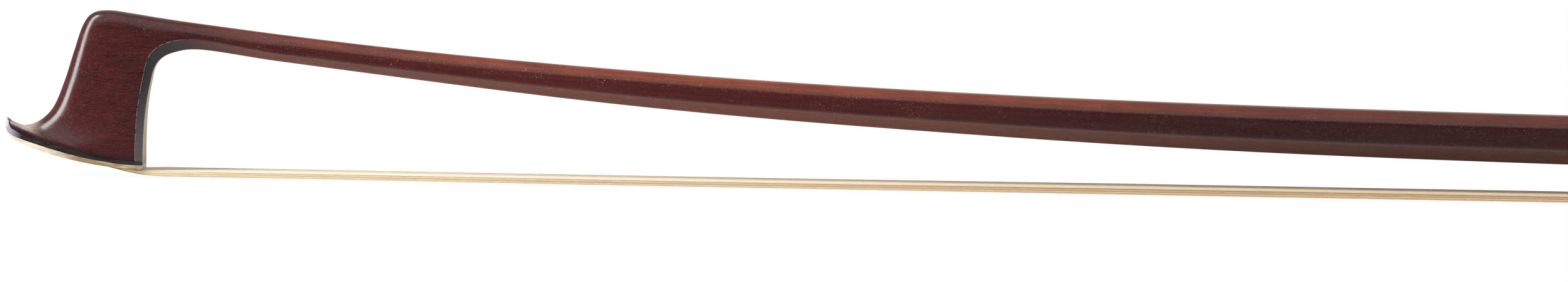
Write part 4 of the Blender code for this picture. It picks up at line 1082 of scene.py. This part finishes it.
EYE_DEPTH = 1.0
EYE_LEAN = math.radians(4.82)
EYE_RING = (
    (-EYE_DEPTH, 3.87), (-EYE_DEPTH, 4.57), (-0.07, 4.57), (0.0, 4.5), (0.0, 3.94), (-0.07, 3.87),
    (-EYE_DEPTH, 3.87),
)
EYE_DOT = ((-EYE_DEPTH, 3.12), (-0.08, 3.12), (0.0, 3.04))


def eye_part(name, profile, node, side):
    """A part of an eye, turned on the axis that leaves the frog's side squarely."""
    outward = HANDLE_TURN.to_3x3() @ Vector((0.0, side * math.cos(EYE_LEAN), math.sin(EYE_LEAN)))
    piece = turned(name, profile, facing(node, outward, EYE_DEPTH))
    shaded(piece, 50.0)
    return piece


for side, word in ((1, "left"), (-1, "right")):
    node = "eye_ring_" + word
    dressed(eye_part(word + "_eye_ring", EYE_RING, node, side), silver, "silver", "frog", node)


# Pearl: the slide's face, the frog's two eyes and the button's eye, all cut from shell, let in flush
# and polished.

def mother_of_pearl():
    """Mother of pearl: layered shell, grey-white with a high polish, whose thin layers give soft
    bands of pink and green."""
    material, shader = surface("mother_of_pearl", "#dfe2dd", Roughness=0.12, IOR=1.56,
                               Coat_Weight=0.4, Coat_Roughness=0.05)
    spot = add(material, "TexCoord").outputs["Object"]
    tilted = add(material, "Mapping", {"Vector": spot, "Rotation": (0.4, 0.7, 0.9)}).outputs[0]
    wave = {"Vector": tilted, "Scale": 70.0, "Distortion": 5.0, "Detail": 2.0, "Detail Scale": 0.6}
    layers = add(material, "TexWave", wave).outputs["Fac"]
    hue = product(material, (grained(material, spot, (3.846, 3.846, 3.846)), 0.35, 0.65))
    colour = painted(material, "#e9e8e2", (painted(material, "#dcc3c9", ("#bcd3ca", hue)), layers))
    bump = add(material, "Bump", {"Height": layers, "Strength": 0.05, "Distance": 0.02 * MM})
    return finished(material, shader, Base_Color=colour, Normal=bump.outputs[0])


pearl = mother_of_pearl()
for node, name, body in (
    ("slide_pearl", "pearl_slide", "frog"),
    ("button_pearl", "button_eye", "button"),
):
    dressed(finer(name, node, 0.05), pearl, "pearl", body, node)
for side, word in ((1, "left"), (-1, "right")):
    node = "eye_pearl_" + word
    dressed(eye_part(word + "_eye", EYE_DOT, node, side), pearl, "pearl", "frog", node)


# Screw and eyelet: a steel screw, turned and threaded, which draws a brass nut, and with it the
# frog, along the handle.

def turned_steel():
    """Turned steel: grey, with fine rings left by the tool round its axis."""
    material, shader = surface("turned_steel", "#a6a6a4", Metallic=1.0)
    rings = grained(material, add(material, "TexCoord").outputs["Object"], (1.1, 1.1, 1.1), 3.0)
    return finished(material, shader, Roughness=product(material, (rings, 0.3, 0.7, 0.22, 0.42)))


def filed_brass():
    """Brass, filed bright: yellow, with dull brown patches where it was not touched."""
    material, shader = surface("filed_brass", "#c9a24e", Metallic=1.0)
    patch = grained(material, add(material, "TexCoord").outputs["Object"], (1.4, 1.4, 1.4), 4.0)
    dull = product(material, (patch, 0.4, 0.7))
    colour = painted(material, "#d6b05c", ("#8c6a34", dull))
    gloss = product(material, (dull, 0.0, 1.0, 0.25, 0.5))
    return finished(material, shader, Base_Color=colour, Roughness=gloss)


finish_nodes(turned_steel(), "screw")
finish_nodes(filed_brass(), "eyelet")


# Button: an ebony middle between a silver ring and a silver cap, with flats that meet those of the
# stick.

BUTTON = {
    "button_core": ("ebony_button", 0.05, ebony, "ebony"),
    "button_front_ring": ("button_ring", 0.06, silver, "silver"),
    "button_rear_cap": ("button_cap", 0.06, silver, "silver"),
}
for node, (name, width, material, slot_name) in BUTTON.items():
    dressed(finer(name, node, width), material, slot_name, "button", node)


# Studio: a long lens, nearly level with the bow and a little rolled, as in the photograph, two soft
# lamps, and white paper under and behind the bow.

CAMERA_LENS = 187.2
CAMERA_SENSOR = 36.0
CAMERA_DISTANCE = 1300.0
CAMERA_ELEVATION = 3.5
CAMERA_ROLL = 1.08
CAMERA_TARGET = Vector((-247.3, 0.0, 7.35))

elevation = math.radians(CAMERA_ELEVATION)
outward = Vector((0.0, -math.cos(elevation), math.sin(elevation)))
camera = bpy.data.objects.new("camera", bpy.data.cameras.new("camera"))
bpy.context.collection.objects.link(camera)
camera.data.lens = CAMERA_LENS
camera.data.sensor_width = CAMERA_SENSOR
camera.data.clip_start = 0.05
camera.data.clip_end = 100.0
camera.matrix_world = (
    Matrix.Translation((CAMERA_TARGET + outward * CAMERA_DISTANCE) * MM)
    @ outward.to_track_quat("Z", "Y").to_matrix().to_4x4()
    @ Matrix.Rotation(math.radians(CAMERA_ROLL), 4, "Z")
)
bpy.context.scene.camera = camera


def softbox(name, place, size, strength, aim=(-0.25, 0.0, 0.01)):
    """A soft rectangular lamp in metres, aimed at the object. At strength 1 a white surface that
    faces it there shows as white."""
    lamp = bpy.data.lights.new(name, "AREA")
    lamp.shape = "RECTANGLE"
    lamp.size, lamp.size_y = size
    way = Vector(aim) - Vector(place)
    lamp.energy = strength * math.pi ** 2 * way.length_squared
    lit = bpy.data.objects.new(name, lamp)
    lit.location = place
    lit.rotation_mode = "QUATERNION"
    lit.rotation_quaternion = (-way).to_track_quat("Z", "Y")
    lit.visible_camera = False
    bpy.context.collection.objects.link(lit)


softbox("overhead_softbox", (-0.2, -1.0, 1.6), (3.4, 2.2), 0.62)
softbox("left_softbox", (-1.56, -0.31, 0.785), (0.55, 1.7), 1.6)

FLOOR_SIZE = 80.0
FLOOR_HEIGHT = -0.0002
PAPER_GLOW = 0.96

bpy.ops.object.select_all(action="DESELECT")
bpy.ops.mesh.primitive_plane_add(size=FLOOR_SIZE, location=(0.0, 0.0, FLOOR_HEIGHT))
floor = bpy.context.object
floor.name = "floor"
white, white_shader = surface("white_paper", "#fbfbfb", Roughness=0.9, Specular_IOR_Level=0.1)
spot = add(white, "SeparateXYZ", {0: add(white, "TexCoord").outputs["Object"]})
# For reflections the paper glows as a lamp would, fully near the bow and behind it and dimly further in
# front
near = product(white, (spot.outputs[1], -0.1, -0.02, 0.08, 1.0))
ray = add(white, "LightPath")
mirrored = add(white, "Math", {0: ray.outputs["Is Glossy Ray"], 1: ray.outputs["Is Transmission Ray"]},
               operation="MAXIMUM")
seen = product(white, ray.outputs["Is Camera Ray"], PAPER_GLOW)
share = add(white, "Math", {0: seen, 1: mirrored.outputs[0]}, operation="MAXIMUM")
level = add(white, "Math", {0: ray.outputs["Is Camera Ray"], 1: near}, operation="MAXIMUM")
glow = add(white, "Emission", {"Color": (1.0, 1.0, 1.0, 1.0), "Strength": level.outputs[0]})
both = add(white, "MixShader", {0: share.outputs[0], 1: white_shader.outputs[0], 2: glow.outputs[0]})
white.node_tree.links.new(both.outputs[0], white.node_tree.nodes["Material Output"].inputs[0])
floor.data.materials.append(white)

world = bpy.data.worlds.new("studio")
bpy.context.scene.world = world
world.use_nodes = True
background = world.node_tree.nodes["Background"]
view = add(world, "LightPath")
way = add(world, "SeparateXYZ", {0: add(world, "TexCoord").outputs["Generated"]})
towards = add(world, "Math", {0: way.outputs[0], 1: 0.5, 2: way.outputs[1]}, operation="MULTIPLY_ADD")
room = product(world, (towards.outputs[0], -0.3, 0.8, 0.06, 0.62))
level = add(world, "Math", {0: room, 1: view.outputs["Is Camera Ray"]}, operation="MAXIMUM")
world.node_tree.links.new(level.outputs[0], background.inputs["Strength"])
background.inputs["Color"].default_value = (1.0, 1.0, 1.0, 1.0)

bpy.context.scene.view_settings.view_transform = "Standard"
